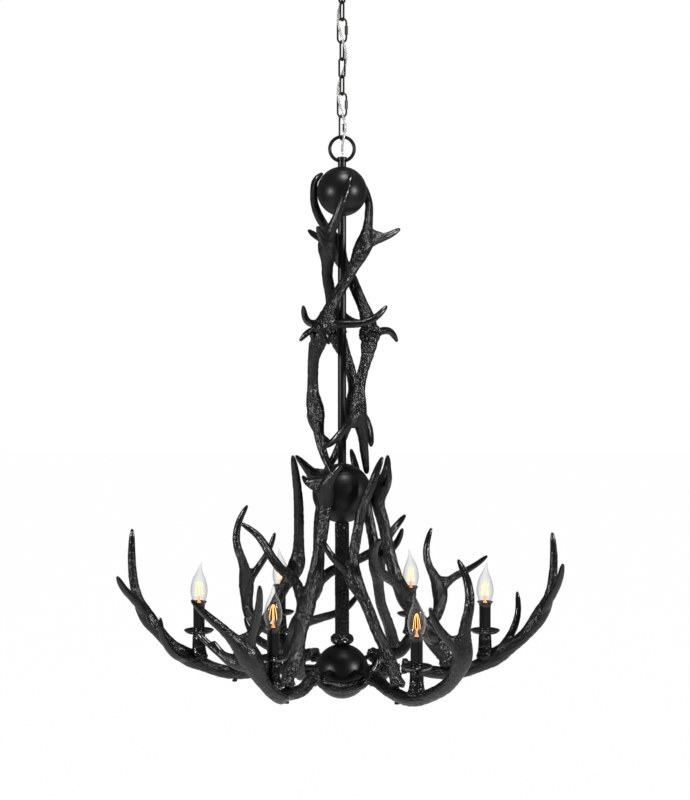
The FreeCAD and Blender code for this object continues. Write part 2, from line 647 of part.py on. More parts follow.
DRAWN_CANDLE_RADIUS = 286.0
WIDENING_START = 216.0
CANDLE_BEAM_LEVELS = (-58.0, -58.0, -58.0, -58.0, -60.0, -74.0)
ARM_ANTLERS = (
    (arm_root(CANDLE_ANGLES[0])
     + ((172, 0, -76, 13.3), seat_point(0), (250, 0, -74, 13.3), candle_point(0),
        (320, 0, -38, 13.3), (350, -1, -17, 13), (374, -1, 6, 12.5), (396, -2, 37, 11),
        (414, -3, 75, 10), (421, -4, 113, 9), (423, -4, 159, 7), (420, -3, 203, 3)),
     ((396, -2, 36, 8.5), (416, -34, 82, 8), (428, -62, 120, 6), (433, -79, 152, 3)),
     ((306, 4, -45, 9), (326, 15, -26, 8), (346, 22, 6, 7), (355, 28, 39, 5), (353, 30, 79, 3))),
    (arm_root(CANDLE_ANGLES[1])
     + ((86, 146, -77, 13.3), seat_point(1), (130, 216, -75, 13.3), candle_point(1),
        (172, 272, -45, 13), (200, 292, -26, 13), (213, 314, 1, 12.5), (213, 333, 30, 12),
        (203, 347, 56, 10.5), (191, 353, 80, 8.5), (186, 360, 112, 7), (198, 367, 161, 3)),
     ((214, 330, 26, 9.5), (236, 341, 48, 8.5), (266, 348, 65, 7), (296, 351, 82, 5),
      (321, 350, 102, 3))),
    (arm_root(CANDLE_ANGLES[2])
     + ((-80, 150, -77, 13.3), seat_point(2), (-118, 222, -74, 13.3), candle_point(2),
        (-165, 282, -44, 13), (-198, 303, -25, 13), (-208, 328, 10, 12.5), (-211, 350, 47, 12),
        (-219, 363, 85, 10), (-232, 371, 121, 9), (-228, 372, 172, 7), (-208, 367, 211, 3)),
     ((-209, 346, 40, 9), (-188, 351, 70, 7.5), (-163, 352, 109, 5.5), (-147, 350, 153, 3))),
    (arm_root(CANDLE_ANGLES[3])
     + ((-172, 1, -76, 13.3), seat_point(3), (-252, 2, -73, 13.3), candle_point(3),
        (-318, 0, -42, 13.3), (-342, 0, -24, 13), (-366, 0, 2, 12.5), (-390, 0, 33, 11),
        (-408, 1, 68, 10), (-418, 2, 112, 9), (-421, 3, 162, 7), (-420, 4, 209, 3)),
     ((-388, 0, 34, 8.5), (-412, -36, 74, 8), (-431, -64, 104, 6), (-440, -79, 127, 3)),
     ((-306, -4, -46, 9), (-322, -44, -38, 8), (-340, -78, -12, 7), (-351, -95, 21, 5),
      (-353, -100, 51, 3))),
    (arm_root(CANDLE_ANGLES[4])
     + ((-76, -146, -80, 13.3), seat_point(4), (-114, -222, -77, 13.3), candle_point(4),
        (-146, -282, -32, 13.5), (-160, -298, -2, 14), (-173, -310, 24, 14), (-190, -320, 44, 11.5),
        (-213, -331, 70, 9.5), (-243, -340, 98, 7), (-273, -345, 129, 3)),
     ((-171, -309, 32, 10), (-162, -326, 66, 9), (-150, -352, 112, 7), (-147, -375, 160, 3)),
     ((-168, -302, 0, 8), (-196, -288, 4, 7.5), (-236, -268, 24, 6), (-271, -250, 53, 2.5)),
     ((-196, -288, 4, 6), (-220, -276, 17, 5), (-238, -262, 40, 2.5))),
    (arm_root(CANDLE_ANGLES[5])
     + ((84, -150, -76, 13.3), seat_point(5), (122, -222, -80, 13.3), candle_point(5),
        (162, -286, -58, 13.3), (196, -344, -20, 13.5), (211, -374, 17, 14), (216, -388, 52, 13),
        (219, -400, 93, 10.5), (226, -402, 131, 9), (222, -390, 171, 7), (207, -367, 205, 3)),
     ((212, -382, 36, 11), (194, -396, 60, 9), (168, -414, 94, 6.5), (154, -425, 130, 3))),
)


def widened(points):
    """The points of an arm's branch, moved out with the candle circle from past the seats on."""
    change = size("candle_radius") - DRAWN_CANDLE_RADIUS
    moved = []
    for x, y, level, radius in points:
        reach = math.hypot(x, y)
        share = (reach - WIDENING_START) / (DRAWN_CANDLE_RADIUS - WIDENING_START)
        scale = 1 + change * min(max(share, 0.0), 1.0) / reach
        moved.append((x * scale, y * scale, level, radius))
    return tuple(moved)


def branch(points):
    """A tapering solid through round sections square to a smooth line through the points."""
    centres = [Vector(x, y, level) for x, y, level, radius in points]
    last = len(centres) - 1
    side = None
    sections = []
    for number, centre in enumerate(centres):
        tangent = centres[min(number + 1, last)] - centres[max(number - 1, 0)]
        tangent.normalize()
        if side is None:
            side = tangent.cross(Vector(0.3, 0.8, 0.5))
        side = side - tangent * side.dot(tangent)
        side.normalize()
        turn = Rotation(side, tangent.cross(side), tangent, "ZXY")
        ring = Part.Wire([Part.Circle(Vector(0, 0, 0), UP, points[number][3]).toShape()])
        ring.Placement = Placement(centre, turn)
        sections.append(ring)
    return Part.makeLoft(sections, True, False)


def antler_shape(branches, seats=()):
    """One antler: its beam with the tines joined on, and the holes for the screws it takes."""
    solid = branch(branches[0])
    for tine in branches[1:]:
        solid = solid.fuse(branch(tine))
    radius = size("screw_dia") / 2 + size("thread_play")
    for x, y in seats:
        hole = Part.makeCylinder(radius, 90, Vector(x, y, SEAT_LEVEL - SEAT_RADIUS - 10), UP)
        solid = solid.cut(hole)
    return solid


def dowel_hole(solid, x, y):
    """Drills the hole that the pin between two burrs goes in."""
    radius = size("dowel_dia") / 2 + size("thread_play") / 2
    half = size("dowel_length") / 2 + 1
    return solid.cut(Part.makeCylinder(radius, 2 * half, Vector(x, y, BURR_JOINT - half), UP))


def turned_copy(shape, angle):
    """A copy of a shape, turned about the rod's axis."""
    copy = shape.copy()
    copy.rotate(Vector(0, 0, 0), UP, angle)
    return copy


def fitted(shape, neighbours):
    """A shape coped to its neighbours, so that it seats on them without running into them."""
    for neighbour in neighbours:
        if shape.BoundBox.intersect(neighbour.BoundBox):
            shape = shape.cut(neighbour)
    return max(shape.Solids, key=lambda solid: solid.Volume)


def make_antlers():
    """Three like antlers at 120 degrees for each kind, and six arms that all differ."""
    arms = [
        antler_shape([widened(points) for points in branches], UPRIGHT_SEATS[number:number + 1])
        for number, branches in enumerate(ARM_ANTLERS)]
    hub = doc.getObject("Hub_cut_7").Shape.copy()
    hub.translate(Vector(0, 0, -CANDLE_PLANE))
    balls = [doc.getObject(name).Shape.copy() for name in ("UpperBallOuter", "MiddleBallOuter")]
    for ball in balls:
        ball.translate(Vector(0, 0, -CANDLE_PLANE))
    upper = fitted(dowel_hole(antler_shape(UPPER_ANTLER), *BURR_SPOT), balls)
    middle = dowel_hole(antler_shape(MIDDLE_ANTLER), *MIDDLE_BURR_SPOT)
    middle = fitted(middle, [turned_copy(upper, angle) for angle in (0, 120, 240)] + balls)
    inner = antler_shape(UPRIGHT_TYPE_1, (INNER_SEAT,))
    front = antler_shape(UPRIGHT_TYPE_2, (FRONT_SEAT,))
    swirl = antler_shape((swirl_points(),))
    kinds = (
        ("upper_antler", upper, []), ("middle_antler", middle, []),
        ("inner_upright", inner, arms + balls[1:]), ("front_upright", front, arms),
        ("swirl_antler", swirl, [hub]))
    for kind, shape, neighbours in kinds:
        for number in range(3):
            name = "%s_%d" % (kind, number + 1)
            copy = turned_copy(shape, 120.0 * number)
            keep(shaped(name, fitted(copy, neighbours), spot(0, 0, CANDLE_PLANE)), name)
    for number, shape in enumerate(arms):
        name = "arm_antler_%d" % (number + 1)
        keep(shaped(name, shape, spot(0, 0, CANDLE_PLANE)), name)
    return arms


def swirl_points():
    """The beam that curls under two arm tubes round the lower ball."""
    points = []
    for angle, rise, radius in SWIRL_STATIONS:
        radians = math.radians(angle)
        points.append((
            SWIRL_RADIUS * math.cos(radians), SWIRL_RADIUS * math.sin(radians),
            SWIRL_LEVEL + rise, radius))
    return tuple(points)


def make_antler_screws():
    """Six screws up through the arms into the uprights' burrs."""
    screws = []
    head_radius = size("screw_head_dia") / 2
    for x, y in UPRIGHT_SEATS:
        head_low = SEAT_LEVEL - SEAT_RADIUS - GAP - size("screw_head_height")
        head = Part.makeCylinder(head_radius, size("screw_head_height"), Vector(x, y, head_low), UP)
        shank_high = BASE_LEVEL + size("screw_depth")
        shank = Part.makeCylinder(size("screw_dia") / 2, shank_high - head_low, Vector(x, y, head_low), UP)
        screws.append(head.fuse(shank).removeSplitter())
    keep(shaped("AntlerScrews", Part.makeCompound(screws), spot(0, 0, CANDLE_PLANE)), "antler_screws")


def make_dowels():
    """Three pins that join each upper antler's burr to a middle antler's."""
    pins = []
    low = BURR_JOINT - size("dowel_length") / 2
    for number in range(3):
        centre = Rotation(UP, 120.0 * number).multVec(Vector(*BURR_SPOT, low))
        pins.append(Part.makeCylinder(size("dowel_dia") / 2, size("dowel_length"), centre, UP))
    keep(shaped("BurrPins", Part.makeCompound(pins), spot(0, 0, CANDLE_PLANE)), "burr_pins")


# ---- Candle lamps ----
PAN_SEAT = -GAP
PEDESTAL_SINK = 6.0
BULB_START = 35.0
SOCKET_LOW = 4.0
STUD_RADIUS = 4.0
STUD_REACH = 16.0


def lamp_places(height=0.0):
    """The six candle places, each at this height over its own drip pan's level."""
    places = []
    for angle, drop in zip(CANDLE_ANGLES, CANDLE_DROPS):
        radians = math.radians(angle)
        reach = size("candle_radius")
        places.append(spot(
            reach * math.cos(radians), reach * math.sin(radians),
            CANDLE_PLANE - drop + height, angle))
    return places


def copies(template, places):
    """One compound with a copy of the template's shape at each place."""
    shapes = []
    for place in places:
        shape = template.Shape.copy()
        shape.Placement = place.multiply(shape.Placement)
        shapes.append(shape)
    return Part.makeCompound(shapes)


def make_pans():
    edge = "Sizes.pan_dia / 2"
    hole = "Sizes.nipple_dia / 2"
    thick = "Sizes.pan_thickness"
    rim = "Sizes.pan_rim_height"
    collar = "Sizes.pan_collar_dia / 2"
    outline = (
        (hole, "0"), (edge + " * 0.7", "0"), (edge, rim), (edge, rim + " + " + thick),
        (edge + " - " + thick + " * 0.6", rim + " + " + thick), (edge + " * 0.68", thick),
        (collar, thick), (collar + " * 0.86", thick + " + Sizes.pan_collar_height"),
        (hole, thick + " + Sizes.pan_collar_height"))
    pan = turned_body("DripPan", outline, spot(0, 0, 0))
    doc.recompute()
    keep(shaped("DripPans", copies(pan, lamp_places())), "drip_pans")


def make_candles():
    outer = "Sizes.candle_dia / 2"
    inner = "(Sizes.candle_dia / 2 - Sizes.candle_wall)"
    tall = "Sizes.candle_height"
    rim = "Sizes.cup_rim_dia / 2"
    cup = "Sizes.cup_height"
    outline = (
        (inner, "0"), (outer, "0"), (outer, tall), (rim + " * 0.86", tall + " + " + cup + " * 0.3"),
        (rim, tall + " + " + cup), (rim + " - Sizes.candle_wall", tall + " + " + cup),
        (rim + " * 0.86 - Sizes.candle_wall", tall + " + " + cup + " * 0.4"), (inner, tall))
    tube = turned_body("CandleTube", outline, spot(0, 0, 0))
    doc.recompute()
    height = size("pan_thickness") + size("pan_collar_height") + GAP
    keep(shaped("CandleTubes", copies(tube, lamp_places(height))), "candle_tubes")


def make_sockets():
    """Lamp sockets, each with the threaded stud that clamps the pan to its pedestal."""
    outer = "Sizes.socket_dia / 2"
    bore = "(Sizes.bulb_base_dia / 2 + Sizes.bore_play)"
    floor = "%s" % (STUD_REACH + BULB_START - 0.5)
    top = "%s + Sizes.bulb_base_height - 3" % (STUD_REACH + BULB_START)
    shoulder = "%s + Sizes.pan_thickness + Sizes.pan_collar_height + Sizes.seat_gap" % STUD_REACH
    outline = (
        ("2.5", "0"), (str(STUD_RADIUS), "0"), (str(STUD_RADIUS), shoulder), (outer, shoulder),
        (outer, top), (bore, top), (bore, floor), ("2.5", floor))
    socket = turned_body("LampSocket", outline, spot(0, 0, 0))
    doc.recompute()
    keep(shaped("LampSockets", copies(socket, lamp_places(-STUD_REACH))), "lamp_sockets")


def make_pedestals(arms):
    """Short antler stubs between the arms and the drip pans, coped to the arms and bored."""
    shapes = []
    for number, place in enumerate(lamp_places(PAN_SEAT)):
        beam_top = CANDLE_BEAM_LEVELS[number] + ARM_RADIUS - PEDESTAL_SINK
        height = place.Base.z - CANDLE_PLANE - beam_top
        low, burr = size("pedestal_base_dia") / 2, 9.0
        top = size("pedestal_top_dia") / 2
        outline = (
            (STUD_RADIUS + 0.4, 0), (low * 0.9, 0), (low, burr * 0.5), (low * 0.78, burr),
            (top, height * 0.55), (top, height - 6), (top * 0.75, height), (STUD_RADIUS + 0.4, height))
        wire = Part.makePolygon([Vector(x, 0, z) for x, z in outline] + [Vector(outline[0][0], 0, 0)])
        shape = Part.Face(wire).revolve(Vector(0, 0, 0), UP, 360)
        shape.Placement = spot(place.Base.x, place.Base.y, place.Base.z - height - CANDLE_PLANE)
        stub = fitted(shape, [arms[number]])
        stub.translate(Vector(0, 0, CANDLE_PLANE))
        shapes.append(stub)
    keep(shaped("Pedestals", Part.makeCompound(shapes)), "candle_pedestals")


def make_bulbs():
    base = "Sizes.bulb_base_dia / 2"
    wide = "Sizes.bulb_dia / 2"
    foot = "Sizes.bulb_base_height"
    glass = "Sizes.bulb_height"
    outline = (
        ("0", "0"), (base + " * 0.6", "0"), (base, "3"), (base, foot),
        (wide + " * 0.52", foot + " + 2"), (wide + " * 0.8", foot + " + " + glass + " * 0.14"),
        (wide, foot + " + " + glass + " * 0.32"), (wide + " * 0.96", foot + " + " + glass + " * 0.42"),
        (wide + " * 0.72", foot + " + " + glass + " * 0.62"),
        (wide + " * 0.34", foot + " + " + glass + " * 0.82"),
        (wide + " * 0.14", foot + " + " + glass), ("0", foot + " + " + glass))
    bulb = turned_body("Bulb", outline, spot(0, 0, 0))
    doc.recompute()
    for number, place in enumerate(lamp_places(BULB_START), start=1):
        keep(shaped("Bulb%d" % number, bulb.Shape.copy(), place), "bulb_%d" % number)


# ---- Clear power cord through the chain ----
CORD_SWING = 9.0
CORD_FIRST_ANGLE = -30.0
CORD_EXIT_ANGLE = -90.0


def cord_points():
    """The cord's corners: down the loop's neck, round the links, into the ring's neck."""
    def around(angle, reach, level):
        radians = math.radians(angle)
        return Vector(reach * math.cos(radians), reach * math.sin(radians), level)

    eye_top = LOOP_TOP - size("loop_wire") / 2
    points = [
        Vector(0, 0, -size("strap_thickness")), Vector(0, 0, COLLAR_TOP), Vector(0, 0, eye_top - 5),
        around(CORD_EXIT_ANGLE, CORD_SWING, eye_top - 15)]
    angle = CORD_FIRST_ANGLE
    for number, (kind, top, bottom, turn) in enumerate(CHAIN):
        points.append(around(angle, CORD_SWING, (top + bottom) / 2))
        if number < len(CHAIN) - 1:
            points.append(around(angle + 45.0, CORD_SWING, bottom))
        angle += 90.0
    points.append(around(CORD_EXIT_ANGLE + 10, CORD_SWING, RING_CENTRE + 14))
    points.append(Vector(0, 0, NECK_TOP + 9))
    points.append(Vector(0, 0, BALL_TOP - 4))
    return points


def make_cord():
    points = cord_points()
    edges = []
    radii = []
    start = points[0]
    for before, corner, after in zip(points, points[1:], points[2:]):
        into = (corner - before).normalize()
        out = (after - corner).normalize()
        half_turn = into.getAngle(out) / 2
        if half_turn < 0.001:
            continue
        run = 0.45 * min((corner - before).Length, (after - corner).Length)
        radius = run / math.tan(half_turn)
        radii.append(radius)
        first = corner - into * run
        second = corner + out * run
        inward = (out - into).normalize()
        middle = corner + inward * (radius / math.cos(half_turn) - radius)
        edges.append(Part.LineSegment(start, first).toShape())
        edges.append(Part.Arc(first, middle, second).toShape())
        start = second
    edges.append(Part.LineSegment(start, points[-1]).toShape())
    path = Part.Wire(edges)
    radius = size("cord_dia") / 2
    section = Part.Wire([Part.Circle(points[0], UP, radius).toShape()])
    tube = path.makePipeShell([section], True, False)
    print("cord radii", " ".join("%.0f" % item for item in radii))
    print("cord volume ratio %.4f" % (tube.Volume / (math.pi * radius ** 2 * path.Length)))
    keep(shaped("Cord", tube), "power_cord")


make_strap()
make_nipple()
make_lock_nut()
make_canopy()
make_collar()
make_loop()
make_chain()
make_top_ring()
make_balls()
make_rod()
make_hub()
make_stem()
make_end_nut()
doc.recompute()
arm_shapes = make_antlers()
make_antler_screws()
make_dowels()
make_pans()
make_candles()
make_sockets()
make_pedestals(arm_shapes)
make_bulbs()
make_cord()
doc.recompute()

for item in doc.Objects:
    if "Invalid" in item.State or "Error" in item.State:
        raise RuntimeError("%s failed: %s" % (item.Name, item.State))
for piece in EXPORTED:
    shape = piece.Shape
    if shape.isNull() or not shape.isValid() or not shape.Solids:
        raise RuntimeError("%s has no valid solid" % piece.Label)
    shape.exportStep("parts/%s.step" % piece.Label)
    print("%-22s solids %d volume %.0f" % (piece.Label, len(shape.Solids), shape.Volume))
print(len(EXPORTED), "sub-parts, candle plane at", round(CANDLE_PLANE, 1))
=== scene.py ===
# %% [markdown]
# An antler chandelier, dressed for the studio.
#
# The construction model is the frame: it says where every piece is.  This script
# gives each piece the form and the finish that a viewer sees: cast black antlers with
# pearled burrs and long grooves, satin balls, a link chain, glossy candle lamps and
# clear flame bulbs.  Pieces are sized in millimetres until a mesh is written in metres;
# the camera and the lamps are placed in metres.

# %% Load the frame
import math

import bpy
import numpy as np
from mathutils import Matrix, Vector
from mathutils import noise as mathutils_noise


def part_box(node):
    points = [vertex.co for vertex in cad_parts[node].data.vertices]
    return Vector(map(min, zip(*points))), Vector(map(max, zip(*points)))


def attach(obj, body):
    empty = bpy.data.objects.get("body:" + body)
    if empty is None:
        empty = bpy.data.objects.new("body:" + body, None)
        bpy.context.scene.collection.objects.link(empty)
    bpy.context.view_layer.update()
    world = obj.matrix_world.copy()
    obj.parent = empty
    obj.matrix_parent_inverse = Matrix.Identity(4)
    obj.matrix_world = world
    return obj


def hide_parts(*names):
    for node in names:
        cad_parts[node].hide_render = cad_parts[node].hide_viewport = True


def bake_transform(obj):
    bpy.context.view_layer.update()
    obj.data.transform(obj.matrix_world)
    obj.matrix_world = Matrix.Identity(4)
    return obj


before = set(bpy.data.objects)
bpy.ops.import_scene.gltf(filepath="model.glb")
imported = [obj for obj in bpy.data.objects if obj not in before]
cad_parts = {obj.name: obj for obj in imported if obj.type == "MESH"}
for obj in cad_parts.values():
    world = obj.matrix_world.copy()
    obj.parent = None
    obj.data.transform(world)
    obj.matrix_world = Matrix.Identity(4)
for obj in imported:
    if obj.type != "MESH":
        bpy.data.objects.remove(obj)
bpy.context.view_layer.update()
MM = 0.001

# %% [markdown]
# The candle plane is the level of the drip pans.  Antler points are given from it, as a
# maker would measure up from the pans.  It is worked out once from the frame: the first
# bulb's foot is a known height over its pan, and that pan lies on the plane.

# %% Levels read from the frame
BULB_OVER_PAN = 35.0
CANDLE_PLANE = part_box("bulb_1")[0][2] / MM - BULB_OVER_PAN
HUB = "chandelier"


def node_box(node):
    """The lowest and highest corner of a node, in millimetres."""
    low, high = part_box(node)
    return [c / MM for c in low], [c / MM for c in high]


print("candle plane at %.1f mm under the ceiling" % -CANDLE_PLANE)

# %% [markdown]
# The photograph was taken from about three and a half metres, near the level of the
# middle of the light and with the lens shifted down, so verticals stay parallel.  A lens length
# and a shift say that in Blender: 1750 pixels of focal length on an 800 pixel side.

# %% Camera
VIEW_DISTANCE = 3.5
EYE_OVER_CANDLES = 0.692
FOCAL_PIXELS = 1750.0
FRAME_TALL = 800.0
HORIZON_OVER_CENTRE = 113.0
AXIS_LEFT_OF_CENTRE = 3.0
SENSOR_SIDE = 36.0


def in_scene(name, data):
    """A new object of this mesh, curve, camera or lamp, linked to the scene."""
    thing = bpy.data.objects.new(name, data)
    bpy.context.scene.collection.objects.link(thing)
    return thing


camera_data = bpy.data.cameras.new("camera")
camera = in_scene("camera", camera_data)
camera.location = (0.0, -VIEW_DISTANCE, CANDLE_PLANE * MM + EYE_OVER_CANDLES)
camera.rotation_euler = (math.radians(90.0), 0.0, 0.0)
camera_data.sensor_width = SENSOR_SIDE
camera_data.lens = SENSOR_SIDE * FOCAL_PIXELS / FRAME_TALL
camera_data.shift_y = -HORIZON_OVER_CENTRE / FRAME_TALL
camera_data.shift_x = AXIS_LEFT_OF_CENTRE / FRAME_TALL
bpy.context.scene.camera = camera
bpy.context.scene.view_settings.view_transform = "Standard"
print("lens %.2f mm" % camera_data.lens)

# %% [markdown]
# Shader maths reads best as plain sums, so one small class wraps a socket and turns
# +, - and * into Math nodes, and its `node` method makes any other node.

# %% A socket that can be added and multiplied


class Wire:
    """An output socket of a shader tree that takes part in sums."""

    def __init__(self, tree, socket):
        self.tree = tree
        self.socket = socket

    def node(self, kind, settings=None, inputs=None, output=0):
        """A new node of this kind: its settings first, then the values or links it takes."""
        made = self.tree.nodes.new(kind)
        for name, value in (settings or {}).items():
            setattr(made, name, value)
        for name, value in (inputs or {}).items():
            socket = made.inputs[name]
            if isinstance(value, Wire):
                self.tree.links.new(value.socket, socket)
            else:
                socket.default_value = value
        return Wire(self.tree, made.outputs[output])

    def maths(self, operation, *values):
        settings = {"operation": operation}
        return self.node("ShaderNodeMath", settings, dict(enumerate(values)))

    def __add__(self, other):
        return self.maths("ADD", self, other)

    __radd__ = __add__

    def __mul__(self, other):
        return self.maths("MULTIPLY", self, other)

    __rmul__ = __mul__

    def __sub__(self, other):
        return self.maths("SUBTRACT", self, other)

    def __rsub__(self, other):
        return self.maths("SUBTRACT", other, self)

    def power(self, exponent):
        return self.maths("POWER", self, exponent)

    def clamped(self):
        return self.node("ShaderNodeClamp", None, {"Value": self})


print("socket sums ready")

# %% [markdown]
# Every material here is one principled shader, which gives paint, metal, plastic and
# glass alike.  A small class holds it while it is made: it sets a socket to a value or
# to a sum, and it reads noise on the object, what is painted on the mesh, and bumps.

# %% A finish under way
FIRST_COLOR, SECOND_COLOR, MIXED_COLOR = 6, 7, 2


class Finish:
    """A material under way: its principled shader and a start for node sums."""

    def __init__(self, name, color, roughness, metallic=0.0, **sockets):
        self.material = bpy.data.materials.new(name)
        self.material.use_nodes = True
        tree = self.material.node_tree
        self.tree = tree
        self.shader = tree.nodes["Principled BSDF"]
        self.start = Wire(tree, None)
        self.set("Base Color", (*color, 1.0))
        self.set("Roughness", roughness)
        self.set("Metallic", metallic)
        for socket, value in sockets.items():
            self.set(socket.replace("_", " "), value)

    def set(self, socket, value):
        if isinstance(value, Wire):
            self.tree.links.new(value.socket, self.shader.inputs[socket])
        else:
            self.shader.inputs[socket].default_value = value

    def place(self, scale=(1.0, 1.0, 1.0)):
        """Texture coordinates, in metres on the object, then scaled."""
        at = self.start.node("ShaderNodeTexCoord", output="Object")
        return self.start.node("ShaderNodeMapping", None, {"Vector": at, "Scale": scale})

    def noise(self, scale, detail=2.0, place=None, rough=0.5):
        vector = place or self.place()
        inputs = {"Vector": vector, "Scale": scale, "Detail": detail, "Roughness": rough}
        return self.start.node("ShaderNodeTexNoise", None, inputs)

    def cells(self, scale, place=None):
        inputs = {"Vector": place or self.place(), "Scale": scale}
        return self.start.node("ShaderNodeTexVoronoi", None, inputs)

    def painted(self, name, output="Fac"):
        """What is painted on the mesh's points under this name."""
        return self.start.node("ShaderNodeAttribute", {"attribute_name": name}, None, output)

    def blend(self, factor, first, second):
        """A colour between two colours."""
        settings = {"data_type": "RGBA"}
        mixed = self.start.node("ShaderNodeMix", settings, {"Factor": factor})
        made = mixed.socket.node
        for place, value in ((FIRST_COLOR, first), (SECOND_COLOR, second)):
            made.inputs[place].default_value = (*value, 1.0)
        return Wire(self.tree, made.outputs[MIXED_COLOR])

    def bump(self, height, distance, strength=1.0):
        inputs = {"Height": height, "Distance": distance, "Strength": strength}
        self.set("Normal", self.start.node("ShaderNodeBump", None, inputs))
        return self


print("finish class ready")

# %% [markdown]
# The antlers are cast resin under a half-gloss black paint.  The big pearls and grooves
# are in the mesh; the paint adds fine streaks along the beam and a pebbled skin.
# The mesh carries two painted values: `grain`, which is the skin's place as if the beam
# were pulled straight, and `cast`, which is 1 where the casting is rough and 0 at the
# rubbed tips.  Noise read from the grain stretches along every beam, wherever it turns.

# %% Antler paint


def antler_paint():
    paint = Finish("antler black", (0.004, 0.004, 0.004), 0.42, Specular_IOR_Level=0.28)
    cast = paint.painted("cast")
    grain = paint.painted("grain", "Vector")
    pulled = {"Vector": grain, "Scale": (1.0, 1.0, 0.14)}
    drawn = paint.start.node("ShaderNodeMapping", None, pulled)
    streaks = paint.noise(300.0, 4.0, drawn, 0.6)
    pebbles = paint.cells(330.0, grain)
    skin = paint.noise(1100.0, 2.0, grain)
    height = (streaks * 0.8 + (1.0 - pebbles) * 0.9) * cast + skin * 0.05
    paint.bump(height, 0.0013, 0.8)
    rub = paint.noise(55.0, 3.0, grain)
    paint.set("Roughness", 0.13 + rub * 0.08 + cast * 0.08)
    deep, worn = (0.0012, 0.0012, 0.0012), (0.0045, 0.0044, 0.0043)
    paint.set("Base Color", paint.blend(rub, deep, worn))
    return paint.material


ANTLER = antler_paint()
print("antler paint has", len(ANTLER.node_tree.nodes), "nodes")

# %% [markdown]
# The balls, the rod, the pans and the candle tubes are steel with a sprayed black
# enamel.  Sprayed enamel has a faint orange peel, so the highlight on a ball is soft at
# its edge; the candle tubes and pans are glossier than the balls.

# %% Metal paints


def enamel(name, roughness, shade=0.003, peel=0.00012, coat=0.0):
    paint = Finish(
        name, (shade, shade, shade), roughness,
        Coat_Weight=coat, Coat_Roughness=0.2, Specular_IOR_Level=0.16)
    dust = paint.noise(45.0, 4.0)
    paint.set("Roughness", roughness - 0.04 + dust * 0.08)
    orange_peel = paint.noise(480.0, 2.0)
    return paint.bump(orange_peel, peel, 0.5).material


def chain_black():
    paint = Finish("chain black", (0.018, 0.018, 0.019), 0.34, 0.6, Specular_IOR_Level=0.2)
    worn = paint.noise(260.0, 4.0)
    paint.set("Base Color", paint.blend(worn, (0.004, 0.004, 0.0042), (0.02, 0.0198, 0.0195)))
    paint.set("Roughness", 0.26 + worn * 0.2)
    return paint.bump(paint.noise(900.0, 3.0), 0.0002, 0.4).material


def drawn_metal(name, color, smoothest, fineness, stretch=1.0):
    """Unpainted metal with fine tool lines, drawn out along the upright axis."""
    metal = Finish(name, color, smoothest, 1.0)
    lines = metal.noise(fineness, 3.0, metal.place((1.0, 1.0, stretch)))
    metal.set("Roughness", smoothest + lines * 0.2)
    return metal.bump(lines, 0.0001, 0.3).material


SATIN = enamel("ball enamel", 0.36)
GLOSS = enamel("lamp enamel", 0.16, 0.003, 0.00004, 0.35)
CHAIN = chain_black()
STEEL = drawn_metal("bare steel", (0.42, 0.42, 0.43), 0.25, 300.0, 0.1)
BRASS = drawn_metal("screw shell", (0.62, 0.56, 0.42), 0.22, 200.0)
print("metal finishes made")

# %% [markdown]
# The cord is clear plastic over tinned wire, and the bulbs are blown glass with glowing
# filaments.  The plastic lets light through it.  The glass is so thin that it is made by
# Alpha alone: Layer Weight makes it clear in the middle and visible at its edges, where
# a painted grey reflection is put in its colour.

# %% Clear and glowing finishes


def clear_jacket():
    """The cord's clear plastic: thin walls that show the twisted wires inside."""
    jacket = Finish(
        "clear jacket", (0.7, 0.71, 0.72), 0.12, IOR=1.45,
        Transmission_Weight=0.85, Coat_Weight=0.3)
    haze = jacket.noise(320.0, 3.0)
    jacket.set("Roughness", 0.08 + haze * 0.14)
    return jacket.bump(haze, 0.0002, 0.3).material


def tinned_wire():
    wire = Finish("tinned wire", (0.62, 0.6, 0.56), 0.3, 0.9)
    twist = wire.noise(900.0, 2.0)
    wire.set("Base Color", wire.blend(twist, (0.5, 0.42, 0.32), (0.75, 0.74, 0.72)))
    return wire.bump(twist, 0.0003, 0.6).material


def flame_glass():
    """Blown glass is clear where it faces the viewer; at its edges it shows a painted grey
    reflection.
    """
    glass = Finish("flame glass", (0.1, 0.1, 0.1), 0.04, Specular_IOR_Level=1.0)
    # The grey rim is a painted reflection: Layer Weight raises the alpha and lightens the colour
    # where the glass turns away.
    edge = glass.start.node("ShaderNodeLayerWeight", None, {"Blend": 0.45}, "Facing")
    ripple = glass.noise(55.0, 2.0)
    glass.set("Alpha", (0.06 + edge.power(1.7) * 0.9 + ripple * 0.06).clamped())
    glass.set("Base Color", glass.blend(edge, (0.05, 0.05, 0.051), (0.36, 0.36, 0.365)))
    glass.set("Roughness", 0.02 + ripple * 0.04)
    return glass.material


def glow(name, color, strength):
    light = Finish(name, color, 0.4)
    hot = light.noise(500.0, 1.0)
    hotter = tuple(min(1.0, c * 1.25) for c in color)
    light.set("Emission Color", light.blend(hot, color, hotter))
    light.set("Emission Strength", strength)
    return light.material


JACKET = clear_jacket()
WIRE = tinned_wire()
GLASS = flame_glass()
FILAMENT = glow("filament", (1.0, 0.4, 0.1), 2.1)
# The glass mount is no lamp: its warm light is a painted glow, emission standing in for the
# filaments' light on it.
MOUNT_PAINTED_GLOW = glow("mount painted glow", (1.0, 0.3, 0.06), 0.55)
print("materials:", len(bpy.data.materials))

# %% [markdown]
# Turned parts such as pans, tubes, balls and the stem are made the way a lathe or a
# spinning chuck makes them: a profile of (radius, height) pairs is turned about an
# upright line.  A `wobble` may push each point in or out, for flutes and cast skin.
# Each ring shares its points with the faces above and below, and only real edges are
# kept sharp.  A shape is a pair, its points and its faces, until it becomes a piece.

# %% From a shape to a piece


